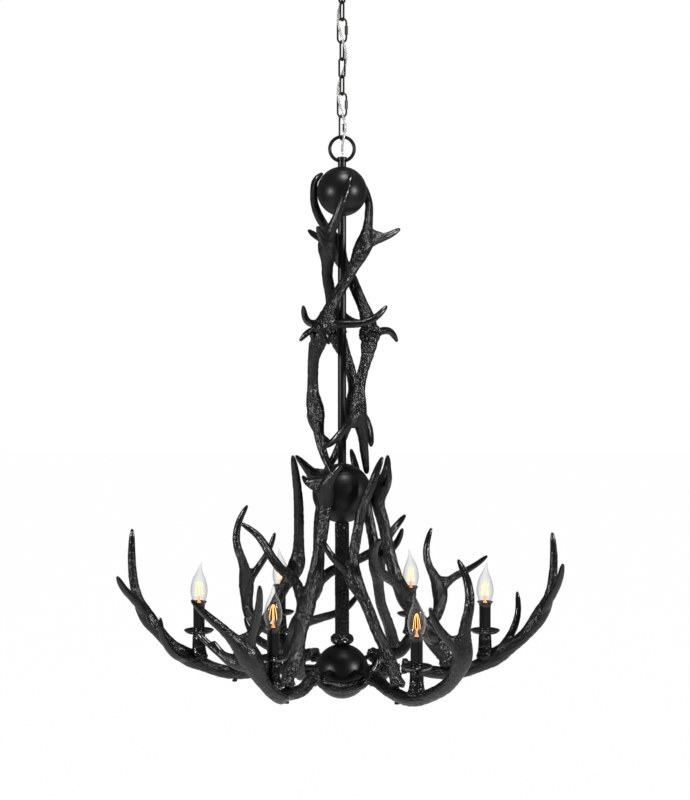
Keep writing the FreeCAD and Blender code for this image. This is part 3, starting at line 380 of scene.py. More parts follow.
def raw_mesh(name, points, faces):
    """A mesh in metres from points in millimetres."""
    mesh = bpy.data.meshes.new(name)
    mesh.from_pydata((np.asarray(points, float) * MM).tolist(), [], faces)
    return mesh


def shade_smooth(mesh):
    mesh.polygons.foreach_set("use_smooth", [True] * len(mesh.polygons))


def piece_from(name, shape, material, body, node=None, sharp=32.0):
    """A piece of points and faces: it rides on a body and stands for a node."""
    mesh = raw_mesh(name, *shape)
    shade_smooth(mesh)
    mesh.set_sharp_from_angle(angle=math.radians(sharp))
    return dress(name, mesh, material, body, node)


def dress(name, mesh, material, body, node=None, turn=0.0):
    """An object of a mesh, with its finish, its body and the node it stands for."""
    mesh.materials.clear()
    mesh.materials.append(material)
    thing = in_scene(name, mesh)
    thing.rotation_euler = (0.0, 0.0, math.radians(turn))
    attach(thing, body)
    if node:
        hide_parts(node)
    return thing


print("piece tools ready")

# %% Turned shapes
TURN = 2.0 * math.pi


def smooth_profile(profile, softness, steps=5):
    """A profile whose inner corners are rounded by short curves."""
    soft = [profile[0]]
    for before, corner, after in zip(profile, profile[1:], profile[2:]):
        arms = []
        for other in (before, after):
            reach = math.dist(corner, other)
            share = min(softness, reach * 0.45) / max(reach, 1e-6)
            arms.append([c + (o - c) * share for c, o in zip(corner, other)])
        for step in range(steps + 1):
            t = step / steps
            soft.append(tuple(
                a * (1 - t) ** 2 + 2 * c * t * (1 - t) + b * t ** 2
                for a, c, b in zip(arms[0], corner, arms[1])))
    soft.append(profile[-1])
    return soft


def turned_mesh(profile, centre, around=72, wobble=None):
    """Points and faces of a profile turned about an upright line through the centre."""
    points = []
    faces = []
    rows = len(profile)
    for radius, height in profile:
        for step in range(around):
            angle = TURN * step / around
            reach = radius + (wobble(angle, radius, height) if wobble else 0.0)
            points.append((
                centre[0] + reach * math.cos(angle), centre[1] + reach * math.sin(angle),
                centre[2] + height))
    for row in range(rows - 1):
        for step in range(around):
            a = row * around + step
            b = row * around + (step + 1) % around
            faces.append((a, b, b + around, a + around))
    return points, faces


def joined(parts):
    """Several point and face lists as one."""
    points = []
    faces = []
    for some_points, some_faces in parts:
        start = len(points)
        points.extend(some_points)
        faces.extend(tuple(start + corner for corner in face) for face in some_faces)
    return points, faces


print("lathe ready")

# %% [markdown]
# Links, rings, the cord and the antlers' tubes are all round sections swept along a line.
# The section is carried on with as little turning as it can have, so it never flips where
# the line bends over.

# %% Swept shapes
START_SIDE = (0.31, 0.83, 0.47)


def frames_along(line, closed=False, side=START_SIDE):
    """Two directions across the line at each point, turned as little as they can be."""
    if closed:
        along = np.roll(line, -1, 0) - np.roll(line, 1, 0)
    else:
        along = np.gradient(line, axis=0)
    along /= np.linalg.norm(along, axis=1)[:, None]
    across = np.array(side)
    firsts = []
    for direction in along:
        across = across - direction * across.dot(direction)
        across /= np.linalg.norm(across)
        firsts.append(across)
    firsts = np.array(firsts)
    return firsts, np.cross(along, firsts)


def wire_mesh(line, radius, around=14, closed=False, side=START_SIDE):
    """A round wire along a line of points; its section turns as little as it can."""
    line = np.asarray(line, float)
    count = len(line)
    radii = np.broadcast_to(np.asarray(radius, float), (count,))
    points = []
    for place, across, other, reach in zip(line, *frames_along(line, closed, side), radii):
        for step in range(around):
            angle = TURN * step / around
            out = math.cos(angle) * across + math.sin(angle) * other
            points.append(place + reach * out)
    faces = []
    rows = count if closed else count - 1
    for row in range(rows):
        for step in range(around):
            a = row * around
            b = ((row + 1) % count) * around
            after = (step + 1) % around
            faces.append((a + step, a + after, b + after, b + step))
    if not closed:
        faces.append(tuple(range(around))[::-1])
        faces.append(tuple((count - 1) * around + step for step in range(around)))
    return points, faces


print("wire tools ready")

# %% [markdown]
# An antler is cast from a real one: a beam that starts at a pearled burr and tapers, with
# tines that leave it through wide webs.  It could be sculpted by hand or bought as a scan.
# Here each beam and tine is a tapering tube along a smooth line through a few measured
# points; the tubes are fused by a voxel remesh, so a tine grows out of its beam with no
# crease, and the crotches are then relaxed into webs.  Last, each point of the skin looks
# up its nearest place on the line, so that grooves run along the beam, pearls gather at
# the burr, and the tine tips stay smooth, as rubbed antler is.

# %% Smooth lines through measured points
STATION_STEP = 2.0
VOXEL = 1.6


def smooth_line(points, step):
    """Evenly spaced stations on a natural cubic curve through measured points."""
    given = np.asarray(points, float)
    gaps = np.linalg.norm(np.diff(given[:, :3], axis=0), axis=1)
    knots = np.concatenate([[0.0], np.cumsum(gaps)])
    count = len(given)
    matrix = np.eye(count)
    right = np.zeros((count, 3))
    for row in range(1, count - 1):
        before, after = gaps[row - 1], gaps[row]
        matrix[row, row - 1:row + 2] = (before, 2 * (before + after), after)
        rise = (given[row + 1, :3] - given[row, :3]) / after
        fall = (given[row, :3] - given[row - 1, :3]) / before
        right[row] = 6 * (rise - fall)
    bend = np.linalg.solve(matrix, right)
    at = np.linspace(0.0, knots[-1], max(8, int(knots[-1] / step)))
    span = np.clip(np.searchsorted(knots, at, "right") - 1, 0, count - 2)
    gap = gaps[span][:, None]
    ahead = (knots[span + 1] - at)[:, None]
    past = (at - knots[span])[:, None]
    line = (bend[span] * ahead ** 3 + bend[span + 1] * past ** 3) / (6 * gap)
    line += (given[span, :3] / gap - bend[span] * gap / 6) * ahead
    line += (given[span + 1, :3] / gap - bend[span + 1] * gap / 6) * past
    return line, np.interp(at, knots, given[:, 3]), knots


def run_along(line):
    """The distance along a line, from its start to each of its points."""
    steps = np.linalg.norm(np.diff(line, axis=0), axis=1)
    return np.concatenate([[0.0], np.cumsum(steps)])


BENT = ((0, 0, 0, 5), (9, 0, 0, 5), (18, 4, 0, 4), (30, 9, 0, 3))
print("a curve through 4 points has", len(smooth_line(BENT, STATION_STEP)[0]), "stations")

# %% Tubes with rounded tips
BURR_HALF = 6.5
THICK_BEAM = 14.5
TIP_FULLNESS = 2.3
TIP_FADE = 16.0
TIP_LENGTH = 1.4
TIP_CLOSING = 0.97
TINE_FLARE = 0.5
FLARE_REACH = 15.0
RADIUS_PASSES = 8


def eased(values, passes):
    """A row of numbers, smoothed lightly a few times with its ends kept."""
    values = values.copy()
    for _ in range(passes):
        values[1:-1] = (values[:-2] + 2 * values[1:-1] + values[2:]) / 4
    return values


def beam_stations(points, burr):
    """Line, radii and distance from the burr; the burr itself is a ring on a plain beam."""
    line, radii, knots = smooth_line(points, STATION_STEP)
    run = run_along(line)
    if burr:
        plain = [point for number, point in enumerate(points) if number != 1]
        radii = np.interp(run, np.delete(knots, 1), [point[3] for point in plain])
    radii = eased(radii, RADIUS_PASSES)
    fullness = TIP_FULLNESS * np.clip(1 - radii / THICK_BEAM, 0.0, 1.0)
    radii = radii + fullness * np.clip((run[-1] - run) / TIP_FADE, 0.0, 1.0)
    crown = np.zeros(len(run))
    if burr:
        crown = np.exp(-((run - knots[1]) / BURR_HALF) ** 4)
        radii = radii + crown * (points[1][3] - radii)
    tip = radii[-1]
    left = np.clip((run[-1] - run) / (tip * TIP_LENGTH), 0.0, 1.0)
    radii = radii * np.sqrt(1 - (1 - left) ** 2 * TIP_CLOSING)
    return line, radii, run, crown


def tine_stations(points):
    """A tine flares where it leaves the beam, like the root of a branch."""
    line, radii, run, crown = beam_stations(points, False)
    flare = TINE_FLARE * radii[0] * np.exp(-run / FLARE_REACH)
    return line, radii + flare, run, crown


print("tube tools ready")

# %% [markdown]
# The fused skin has lost its lines, so each point finds its nearest station again.  The
# `grain` painted on it is where the point would be if the beam were pulled straight:
# two numbers across and one along.  Noise read from it runs with the grain, in the mesh
# and in the paint, and it has no seam round the beam.

# %% Skin of an antler


def fused_skin(tubes):
    """One closed mesh from overlapping tubes, in millimetres."""
    mesh = raw_mesh("rough cast", *joined(tubes))
    thing = in_scene("rough cast", mesh)
    remesh = thing.modifiers.new("skin", "REMESH")
    remesh.mode = "VOXEL"
    remesh.voxel_size = VOXEL * MM
    depsgraph = bpy.context.evaluated_depsgraph_get()
    skin = bpy.data.meshes.new_from_object(thing.evaluated_get(depsgraph))
    bpy.data.objects.remove(thing)
    bpy.data.meshes.remove(mesh)
    return skin


def mesh_points(mesh):
    flat = np.empty(len(mesh.vertices) * 3)
    mesh.vertices.foreach_get("co", flat)
    return flat.reshape(-1, 3) / MM


def mesh_normals(mesh):
    flat = np.empty(len(mesh.vertices) * 3)
    mesh.vertex_normals.foreach_get("vector", flat)
    return flat.reshape(-1, 3)


def relaxed(mesh, points, weights, passes):
    """Each point moves towards the middle of its neighbours, by its own weight."""
    flat = np.empty(len(mesh.edges) * 2, int)
    mesh.edges.foreach_get("vertices", flat)
    one, other = flat.reshape(-1, 2).T
    count = len(points)
    shared = np.bincount(np.concatenate([one, other]), minlength=count)[:, None]
    for _ in range(passes):
        total = np.empty_like(points)
        for axis in range(3):
            total[:, axis] = (
                np.bincount(one, points[other, axis], count)
                + np.bincount(other, points[one, axis], count))
        points = points + (total / shared - points) * weights[:, None]
    return points


print("skin tools ready, voxel %.1f mm" % VOXEL)

# %% Nearest place on the lines
BATCH = 4000
FAR_AWAY = 1e9


def nearest_stations(points, branches):
    """For each point: its branch, its station there and how deep other branches hold it."""
    best = np.full(len(points), FAR_AWAY)
    second = np.full(len(points), FAR_AWAY)
    branch_of = np.zeros(len(points), int)
    station_of = np.zeros(len(points), int)
    for number, (line, radii, run, crown) in enumerate(branches):
        for start in range(0, len(points), BATCH):
            some = slice(start, start + BATCH)
            apart = points[some, None, :] - line[None, :, :]
            away = np.linalg.norm(apart, axis=2) - radii[None, :]
            station = away.argmin(axis=1)
            gap = away[np.arange(len(station)), station]
            closer = gap < best[some]
            second[some] = np.where(closer, best[some], np.minimum(second[some], gap))
            branch_of[some] = np.where(closer, number, branch_of[some])
            station_of[some] = np.where(closer, station, station_of[some])
            best[some] = np.where(closer, gap, best[some])
    return branch_of, station_of, second


def noise_at(points, seed):
    """Smooth noise from 0 to 1 at each point."""
    shift = Vector((seed * 17.3, seed * 5.1, seed * 9.7))
    read = mathutils_noise.noise
    return np.array([0.5 + 0.5 * read(Vector(p) + shift) for p in points.tolist()])


print("noise at the origin reads %.2f" % noise_at(np.zeros((1, 3)), 1)[0])

# %% [markdown]
# Where a tine leaves its beam a real antler widens into a palm, with a web in the crotch.
# The beam is swelled there, and a few straight tubes bridge the crotch from the beam to
# the tine; the remesh takes them all into one skin.

# %% Palms at the forks
PALM_SWELL = 0.5
PALM_REACH = 30.0
ROOT_SHARE = 8
LEAVING_STATIONS = 9
FORK_STATIONS = 6
WEB_SHARE = 0.62
WEB_STEPS = (0.9, 1.5, 2.1, 2.6)
WEB_UP_TINE = 0.6
WEB_BEADS = 9
AROUND_WEB = 16


def parent_of(number, branches):
    """The earlier branch that this one starts on."""
    root = branches[number][0][0]
    nearest = [np.linalg.norm(stem[0] - root, axis=1).min() for stem in branches[:number]]
    return int(np.argmin(nearest))


def palms(branches):
    """Swells each branch where a tine leaves it, and bridges the crotch on its inner side."""
    bridges = []
    for number in range(1, len(branches)):
        line, radii, run, crown = branches[number]
        parent = parent_of(number, branches)
        stem_line, stem_radii, stem_run, stem_crown = branches[parent]
        fork = np.linalg.norm(stem_line - line[0], axis=1).argmin()
        root = radii[len(radii) // ROOT_SHARE]
        swell = PALM_SWELL * root * np.exp(-((stem_run - stem_run[fork]) / PALM_REACH) ** 2)
        branches[parent] = (stem_line, stem_radii + swell, stem_run, stem_crown)
        leaving = line[min(LEAVING_STATIONS, len(line) - 1)] - line[0]
        after = stem_line[min(fork + FORK_STATIONS, len(stem_line) - 1)]
        ahead = after - stem_line[max(fork - FORK_STATIONS, 0)]
        side = 1.0 if leaving.dot(ahead) > 0 else -1.0
        for share in WEB_STEPS:
            on_stem = np.abs(stem_run - (stem_run[fork] + side * share * root)).argmin()
            on_tine = np.abs(run - (share + WEB_UP_TINE) * root).argmin()
            ends = np.stack([stem_line[on_stem], line[on_tine]])
            chord = ends[0] + np.linspace(0.0, 1.0, WEB_BEADS)[:, None] * (ends[1] - ends[0])
            bridges.append(wire_mesh(chord, WEB_SHARE * root, AROUND_WEB))
    return bridges


print("palm tools ready, each web has", len(WEB_STEPS), "bridges")

# %% [markdown]
# Grooves, pearls and the burr's knobs are cut into the skin, always inward, so the cut
# skin stays inside the plain one.  Each is a noise read from the grain: drawn out along
# the beam for grooves, even for pearls.

# %% Grooves, pearls and knobs
GROOVE_DEPTH = 1.9
GROOVE_SHARE = 0.55
MOTTLE_DEPTH = 1.3
PEARL_DEPTH = 1.9
CROWN_DEPTH = 3.6
GROOVE_GRAIN = np.array((0.42, 0.42, 0.045))
MOTTLE_GRAIN = np.array((0.24, 0.24, 0.13))
KNOB_GRAIN = np.array((0.22, 0.22, 0.1))
PEARL_GRAIN = 0.31
BRANCH_APART = 40.0
NO_BURR = 1e3


def along_branches(points, branches, branch_of, station_of):
    """Each point's grain, its beam's radius, its share of burr and its way from the burr."""
    grain = np.zeros_like(points)
    radius_at = np.zeros(len(points))
    crown_at = np.zeros(len(points))
    from_burr = np.full(len(points), NO_BURR)
    for number, (line, radii, run, crown) in enumerate(branches):
        mine = branch_of == number
        at = station_of[mine]
        first, other = frames_along(line)
        offset = points[mine] - line[at]
        grain[mine] = np.stack([
            np.einsum("ij,ij->i", offset, first[at]), np.einsum("ij,ij->i", offset, other[at]),
            run[at] + BRANCH_APART * number], 1)
        radius_at[mine] = radii[at]
        crown_at[mine] = crown[at]
        if number == 0:
            from_burr[mine] = run[at]
    return grain, radius_at, crown_at, from_burr


def carving(grain, rough, pearled, crown_at, seed):
    """How deep each point of the skin is cut in, in millimetres."""
    grooves = 1 - np.abs(2 * noise_at(grain * GROOVE_GRAIN, seed) - 1) * 2.2
    grooves = np.clip(grooves, 0.0, 1.0)
    mottle = noise_at(grain * MOTTLE_GRAIN, seed + 3)
    pearls = np.abs(2 * noise_at(grain * PEARL_GRAIN, seed + 7) - 1)
    knobs = noise_at(grain * KNOB_GRAIN, seed + 11)
    inward = rough * (GROOVE_DEPTH * grooves ** 2 * GROOVE_SHARE + MOTTLE_DEPTH * mottle)
    inward += pearled * PEARL_DEPTH * (1 - np.clip(pearls * 2.4, 0.0, 1.0))
    inward += crown_at * CROWN_DEPTH * np.clip(1.7 * knobs - 0.35, 0.0, 1.0)
    return inward


print("pearls are cut %.1f mm deep, a burr's knobs %.1f mm" % (PEARL_DEPTH, CROWN_DEPTH))

# %% The finished skin of one antler
AROUND_BEAM = 28
CROTCH_REACH = 12.0
LEAST_EASE = 0.1
MOST_EASE = 0.9
EASE_PASSES = 26
PEARLED_REACH = 42.0
ROUGH_FROM = 6.2
ROUGH_FULL = 10.5


def place_points(mesh, points):
    mesh.vertices.foreach_set("co", (points * MM).ravel())
    mesh.update()


def antler_mesh(name, beam, tines, seed):
    """The skin of one antler, with its grain and its roughness painted on."""
    branches = [beam_stations(beam, True)] + [tine_stations(tine) for tine in tines]
    bridges = palms(branches)
    tubes = [wire_mesh(line, radii, AROUND_BEAM) for line, radii, run, crown in branches]
    mesh = fused_skin(tubes + bridges)
    points = mesh_points(mesh)
    branch_of, station_of, second = nearest_stations(points, branches)
    crotch = np.clip(1 - np.abs(second) / CROTCH_REACH, 0.0, 1.0)
    ease = np.clip(crotch * MOST_EASE, LEAST_EASE, MOST_EASE)
    points = relaxed(mesh, points, ease, EASE_PASSES)
    grain, radius_at, crown_at, from_burr = along_branches(points, branches, branch_of, station_of)
    rough = np.clip((radius_at - ROUGH_FROM) / (ROUGH_FULL - ROUGH_FROM), 0.0, 1.0)
    pearled = np.exp(-from_burr / PEARLED_REACH)
    inward = carving(grain, rough, pearled, crown_at, seed)
    place_points(mesh, points)
    place_points(mesh, points - mesh_normals(mesh) * inward[:, None])
    shade_smooth(mesh)
    painted = mesh.attributes.new("grain", "FLOAT_VECTOR", "POINT")
    painted.data.foreach_set("vector", (grain * MM).ravel())
    cast = np.clip(rough * 0.75 + pearled * 0.6 + crown_at * 0.4, 0.0, 1.0)
    painted = mesh.attributes.new("cast", "FLOAT", "POINT")
    painted.data.foreach_set("value", cast)
    mesh.name = name
    mesh.update()
    print(name, "has", len(mesh.polygons), "faces")
    return mesh


def from_pans(branches):
    """Branches whose levels were counted from the drip pans, put in the frame."""
    return [tuple((x, y, level + CANDLE_PLANE, radius) for x, y, level, radius in branch)
            for branch in branches]


print("an antler's skin is eased", EASE_PASSES, "times")

# %% [markdown]
# The points below were measured off the photograph, in millimetres: right of the rod,
# away from the camera, up from the drip pans, and the beam's radius there.  One picture
# gives no depth, but it shows three copies of a casting from three sides, and the depth
# was worked out from those.  The second point of a beam is its burr.  Upper and middle
# antlers meet burr to burr at a pin.

# %% Upper and middle antlers
BURR_JOINT = 600.0
ROD_CLEAR = 31.0
THIRD_TURN = 120.0
MIDDLE_TIP = (50.0, 12.7, 317.0)

UPPER_BEAM = (
    (-42, -40, BURR_JOINT - 1.5, 16), (-41, -40, 605, 19), (-38, -40, 616, 14.5),
    (-26, -38, 645, 12.5), (-6, -ROD_CLEAR, 682, 12), (14, 5 - ROD_CLEAR, 716, 11.5),
    (33, -14, 752, 12), (46, -8, 784, 11), (51, 6, 808, 10), (54, 22, 834, 9),
    (54, 33, 861, 7.6), (48, 38, 884, 6.8), (37, 41, 904, 5.5), (16.7, 33.5, 920.7, 3))
UPPER_TINES = (
    ((42, -8, 773, 11.5), (64, -4, 785, 9.5), (92, 5, 795, 6.5), (118, 13, 810, 3)),
    ((-38, -40, 610, 8), (-10, -50, 618, 7.5), (36, -52, 620, 7), (66, -46, 632, 6),
     (90, -36, 656, 3)))
MIDDLE_BEAM = (
    (55.6, -16.4, BURR_JOINT + 1.5, 16), (55, -18.5, 595, 19), (54, -23, 584, 14),
    (50, -35, 556, 12), (38, -45, 512, 11), (33, -47, 470, 11), (33, -40, 438, 12.5),
    (39.5, -31, 406, 11), (42.5, -24.5, 383, 9.5), (46, -10, 350, 7.5), (*MIDDLE_TIP, 4.5))
MIDDLE_TINES = (
    ((33, -44, 448, 10), (24, -56, 436, 9), (10, -62, 420, 8), (-5, -61, 402, 7),
     (-18, -56, 388, 6), (-38.6, -45, 374, 3)),
    ((54, -18, 590, 8), (76, -2, 603, 7.5), (97, 18, 602, 6), (112, 36, 580, 3)))


def stand(kind, beam, tines, seed):
    """Three like antlers round the rod, each turned by a third of a turn."""
    beam, *tines = from_pans((beam, *tines))
    mesh = antler_mesh(kind, beam, tines, seed)
    for number in range(3):
        name = "%s_%d" % (kind, number + 1)
        dress("%s_skin" % name, mesh, ANTLER, HUB, name, THIRD_TURN * number)


stand("upper_antler", UPPER_BEAM, UPPER_TINES, 1)
stand("middle_antler", MIDDLE_BEAM, MIDDLE_TINES, 2)

# %% [markdown]
# Six upright antlers stand on the arms and lean in to the middle ball: three with a long
# front tine nearer the rod, and three plainer ones.  Three small ones curl round the
# lower ball, under the arm tubes.

# %% Upright and swirl antlers
BURR_SEAT = -68.0
BALL_TOUCH = (72.3, 4.0)

INNER_BEAM = (
    (210, 0, BURR_SEAT, 14), (209, 0, -60, 19), (206, 0, -50, 15),
    (184, 0, -15, 13.5), (154, -3, 30, 13.5), (124, -7, 78, 13.5), (105, -4, 122, 13.5),
    (92, 1, 174, 12.5), (80, 4, 230, 13), (*BALL_TOUCH, 272, 12.5), (84, 12, 300, 11),
    (91, 32, 326, 8), (93, 56, 351, 3))
INNER_TINES = (
    ((82, 8, 290, 9), (88, -8, 300, 8), (91, -24, 308, 6), (91, -38, 322, 3)),
    ((130, -8, 70, 11), (120, -24, 92, 11), (103, -44, 110, 10.5), (86, -82, 127, 10),
     (66, -128, 156, 9), (61, -160, 190, 7), (73, -196, 216, 3)),
    ((184, -4, -14, 9), (176, -60, -2, 8.5), (164, -104, 14, 7), (155, -131, 45, 3)))
FRONT_BEAM = (
    (104, -188, BURR_SEAT, 14), (104, -186, -60, 18), (102, -182, -50, 14),
    (91, -166, -17, 12), (67, -134, 30, 11.5), (42, -110, 88, 11.5), (21, -94, 132, 12.5),
    (22, -88, 170, 11), (31, -82, 218, 10.5), (39, -78, 257, 10), (54, -72, 294, 9),
    (67, -69, 328, 7), (80, -67, 360, 3))
FRONT_TINES = (
    ((24, -96, 126, 9), (4, -100, 146, 8.5), (-20, -114, 172, 6.5), (-40, -118, 207, 3)),)
SWIRL_REACH = 84.0
SWIRL_UNDER = -71.3
SWIRL = (
    (226.0, 10.0, 12.0), (229.0, 6.0, 16.0), (234.0, 0.0, 12.0), (243.5, -12.5, 11.0),
    (257.0, -18.0, 11.5), (271.0, -20.0, 11.5), (286.0, -17.0, 11.0), (299.0, -12.5, 11.0),
    (309.0, 0.0, 9.5), (317.0, 12.0, 7.0), (324.0, 26.0, 5.0), (330.0, 42.0, 3.0))
SWIRL_BEAM = tuple(
    (SWIRL_REACH * math.cos(math.radians(angle)), SWIRL_REACH * math.sin(math.radians(angle)),
     SWIRL_UNDER + rise, radius)
    for angle, rise, radius in SWIRL)

stand("inner_upright", INNER_BEAM, INNER_TINES, 3)
stand("front_upright", FRONT_BEAM, FRONT_TINES, 4)
stand("swirl_antler", SWIRL_BEAM, (), 5)

# %% [markdown]
# The six arms all differ.  Each starts at a burr where a tube from the hub runs into it,
# dips under an upright's seat and its own candle, and sweeps up and out to its tip.

# %% Arm antlers
ARM_START = 117.0
ARM_START_LEVEL = -66.0
CANDLE_REACH = 286.0
CANDLE_ANGLES = (0.0, 59.0, 117.5, 180.0, 243.5, 299.0)
CANDLE_DROPS = (0.0, 12.0, 10.0, 0.0, 0.0, 18.0)
BEAM_LEVELS = (-58.0, -58.0, -58.0, -58.0, -60.0, -74.0)
SEATS = ((210.0, 0.0), (104.0, -188.0))
SEAT_TURNS = (0.0, 120.0, 120.0, 240.0, 240.0, 0.0)
SEAT_LEVEL = -80.0
SEAT_RADIUS = 14.0
ARM_RADIUS = 13.3


def on_circle(reach, angle, level=0.0):
    radians = math.radians(angle)
    return (reach * math.cos(radians), reach * math.sin(radians), level)


def turned_about_rod(x, y, turn):
    """A place turned about the upright line through the origin."""
    cosine, sine = math.cos(math.radians(turn)), math.sin(math.radians(turn))
    return x * cosine - y * sine, x * sine + y * cosine


def arm_start(number):
    """The arm's burr, in line with its tube."""
    stations = ((0.0, 14.0), (8.0, 18.0), (19.0, 14.0))
    return tuple(
        (*on_circle(ARM_START + step, CANDLE_ANGLES[number], ARM_START_LEVEL - step * 0.1), radius)
        for step, radius in stations)


def under_candle(number):
    return (*on_circle(CANDLE_REACH, CANDLE_ANGLES[number], BEAM_LEVELS[number]), ARM_RADIUS)


def under_upright(number):
    """Inner uprights stand on every other arm, the plainer ones between them."""
    seat = turned_about_rod(*SEATS[number % 2], SEAT_TURNS[number])
    return (*seat, SEAT_LEVEL, SEAT_RADIUS)


ARMS = (
    (arm_start(0)
     + ((172, 0, -76, 13.3), under_upright(0), (250, 0, -74, 13.3), under_candle(0),
        (320, 0, -38, 13.3), (350, -1, -17, 13), (374, -1, 6, 12.5), (396, -2, 37, 11),
        (414, -3, 75, 10), (421, -4, 113, 9), (423, -4, 159, 7), (420, -3, 203, 3)),
     ((396, -2, 36, 8.5), (416, -34, 82, 8), (428, -62, 120, 6), (432, -79, 152, 3)),
     ((306, 4, -45, 9), (326, 15, -26, 8), (346, 22, 6, 7), (355, 28, 39, 5), (353, 30, 79, 3))),
    (arm_start(1)
     + ((86, 146, -77, 13.3), under_upright(1), (130, 216, -75, 13.3), under_candle(1),
        (172, 272, -45, 13), (200, 292, -26, 13), (213, 314, 1, 12.5), (213, 333, 30, 12),
        (203, 347, 56, 10.5), (191, 353, 80, 8.5), (186, 360, 112, 7), (198, 367, 161, 3)),
     ((214, 330, 26, 9.5), (236, 341, 48, 8.5), (266, 348, 65, 7), (296, 351, 82, 5),
      (321, 350, 102, 3))),
    (arm_start(2)
     + ((-80, 150, -77, 13.3), under_upright(2), (-118, 222, -74, 13.3), under_candle(2),
        (-165, 282, -44, 13), (-198, 303, -25, 13), (-208, 328, 10, 12.5), (-211, 350, 47, 12),
        (-219, 363, 85, 10), (-232, 371, 121, 9), (-228, 372, 172, 7), (-208, 367, 211, 3)),
     ((-209, 346, 40, 9), (-188, 351, 70, 7.5), (-163, 352, 109, 5.5), (-147, 350, 153, 3))),
    (arm_start(3)
     + ((-172, 1, -76, 13.3), under_upright(3), (-252, 2, -73, 13.3), under_candle(3),
        (-318, 0, -42, 13.3), (-342, 0, -24, 13), (-366, 0, 2, 12.5), (-390, 0, 33, 11),
        (-408, 1, 68, 10), (-418, 2, 112, 9), (-421, 3, 162, 7), (-420, 4, 209, 3)),
     ((-388, 0, 34, 8.5), (-412, -36, 74, 8), (-431, -64, 104, 6), (-440, -79, 127, 3)),
     ((-306, -4, -46, 9), (-322, -44, -38, 8), (-340, -78, -12, 7), (-351, -95, 21, 5),
      (-353, -100, 51, 3))),
    (arm_start(4)
     + ((-76, -146, -80, 13.3), under_upright(4), (-114, -222, -77, 13.3), under_candle(4),
        (-146, -282, -32, 13.5), (-160, -298, -2, 14), (-173, -310, 24, 14), (-190, -320, 44, 11.5),
        (-213, -331, 70, 9.5), (-243, -340, 98, 7), (-273, -345, 129, 3)),
     ((-171, -309, 32, 10), (-162, -326, 66, 9), (-150, -352, 112, 7), (-147, -375, 160, 3)),
     ((-168, -302, 0, 8), (-196, -288, 4, 7.5), (-236, -268, 24, 6), (-271, -250, 53, 2.5)),
     ((-196, -288, 4, 6), (-220, -276, 17, 5), (-238, -262, 40, 2.5))),
    (arm_start(5)
     + ((84, -150, -76, 13.3), under_upright(5), (122, -222, -80, 13.3), under_candle(5),
        (162, -286, -58, 13.3), (196, -344, -20, 13.5), (211, -374, 17, 14), (216, -388, 52, 13),
        (219, -400, 93, 10.5), (226, -402, 131, 9), (222, -390, 171, 7), (207, -367, 205, 3)),
     ((212, -382, 36, 11), (194, -396, 60, 9), (168, -414, 94, 6.5), (154, -425, 130, 3))),
)

ARM_SEEDS = 10
for number, arm in enumerate(ARMS, start=1):
    name = "arm_antler_%d" % number
    beam, *tines = from_pans(arm)
    mesh = antler_mesh(name, beam, tines, ARM_SEEDS + number)
    dress("%s_skin" % name, mesh, ANTLER, HUB, name)

# %% [markdown]
# The three balls are spun steel.  A spun ball is closed by a cap high on its upper half,
# and the enamel leaves that joint as a fine line, which the upper and middle balls show.
# A profile with a small dip at the cap's edge turns into exactly that.

# %% Balls
CAP_SHARE = 0.72
SEAM_HALF = 0.9
SEAM_DEEP = 0.55
BALL_STEPS = 120
BALL_BORE = 8.65
SKIN_BORE = 8.75
SKIN_INSET = 0.05


def ball_profile(radius, hole, seam):
    """From the lower hole up round the ball to the upper one, with the cap's seam."""
    start = math.asin(hole / radius)
    seam_at = math.acos(CAP_SHARE)
    profile = []
    for step in range(BALL_STEPS + 1):
        angle = math.pi - start - (math.pi - 2 * start) * step / BALL_STEPS
        reach = radius
        if seam:
            away = (angle - seam_at) * radius / SEAM_HALF
            reach -= SEAM_DEEP * math.exp(-away ** 2)
        profile.append((reach * math.sin(angle), reach * math.cos(angle)))
    return profile


def spun_ball(node, seam):
    low, high = node_box(node)
    radius = (high[0] - low[0]) / 2
    centre = (0.0, 0.0, high[2] - math.sqrt(radius ** 2 - BALL_BORE ** 2))
    ball = turned_mesh(ball_profile(radius - SKIN_INSET, SKIN_BORE, seam), centre, 144)
    piece_from(node + "_spun", ball, SATIN, HUB, node, 60.0)


spun_ball("upper_ball", True)
spun_ball("middle_ball", True)
spun_ball("lower_ball", False)
print("balls spun")

# %% [markdown]
# The rod is plain drawn tube, straight from the hanging ring's neck to the hub.  The
# stem round its lower half is cast to look like antler: long uneven ribs with fine
# pebbles between them, over a knobbly burr that sits on the lower ball.

# %% Rod and ribbed stem
AXIS = (0.0, 0.0, 0.0)
ROD_BORE = 6.0
low, high = node_box("centre_rod")
ROD_RADIUS = (high[0] - low[0]) / 2
rod_profile = smooth_profile([
    (ROD_BORE, low[2]), (ROD_RADIUS, low[2]), (ROD_RADIUS, high[2]), (ROD_BORE, high[2])], 0.6)
rod = turned_mesh(rod_profile, AXIS, 64)
piece_from("centre_rod_drawn", rod, SATIN, HUB, "centre_rod")

STEM_RADIUS = 14.5
STEM_RIBS = 11
STEM_STEPS = 220
STEM_BURR_HEIGHT = 20.0
low, high = node_box("lower_stem")
STEM_BURR_RADIUS = (high[0] - low[0]) / 2
STEM_FOOT = low[2]
STEM_TALL = high[2] - low[2]


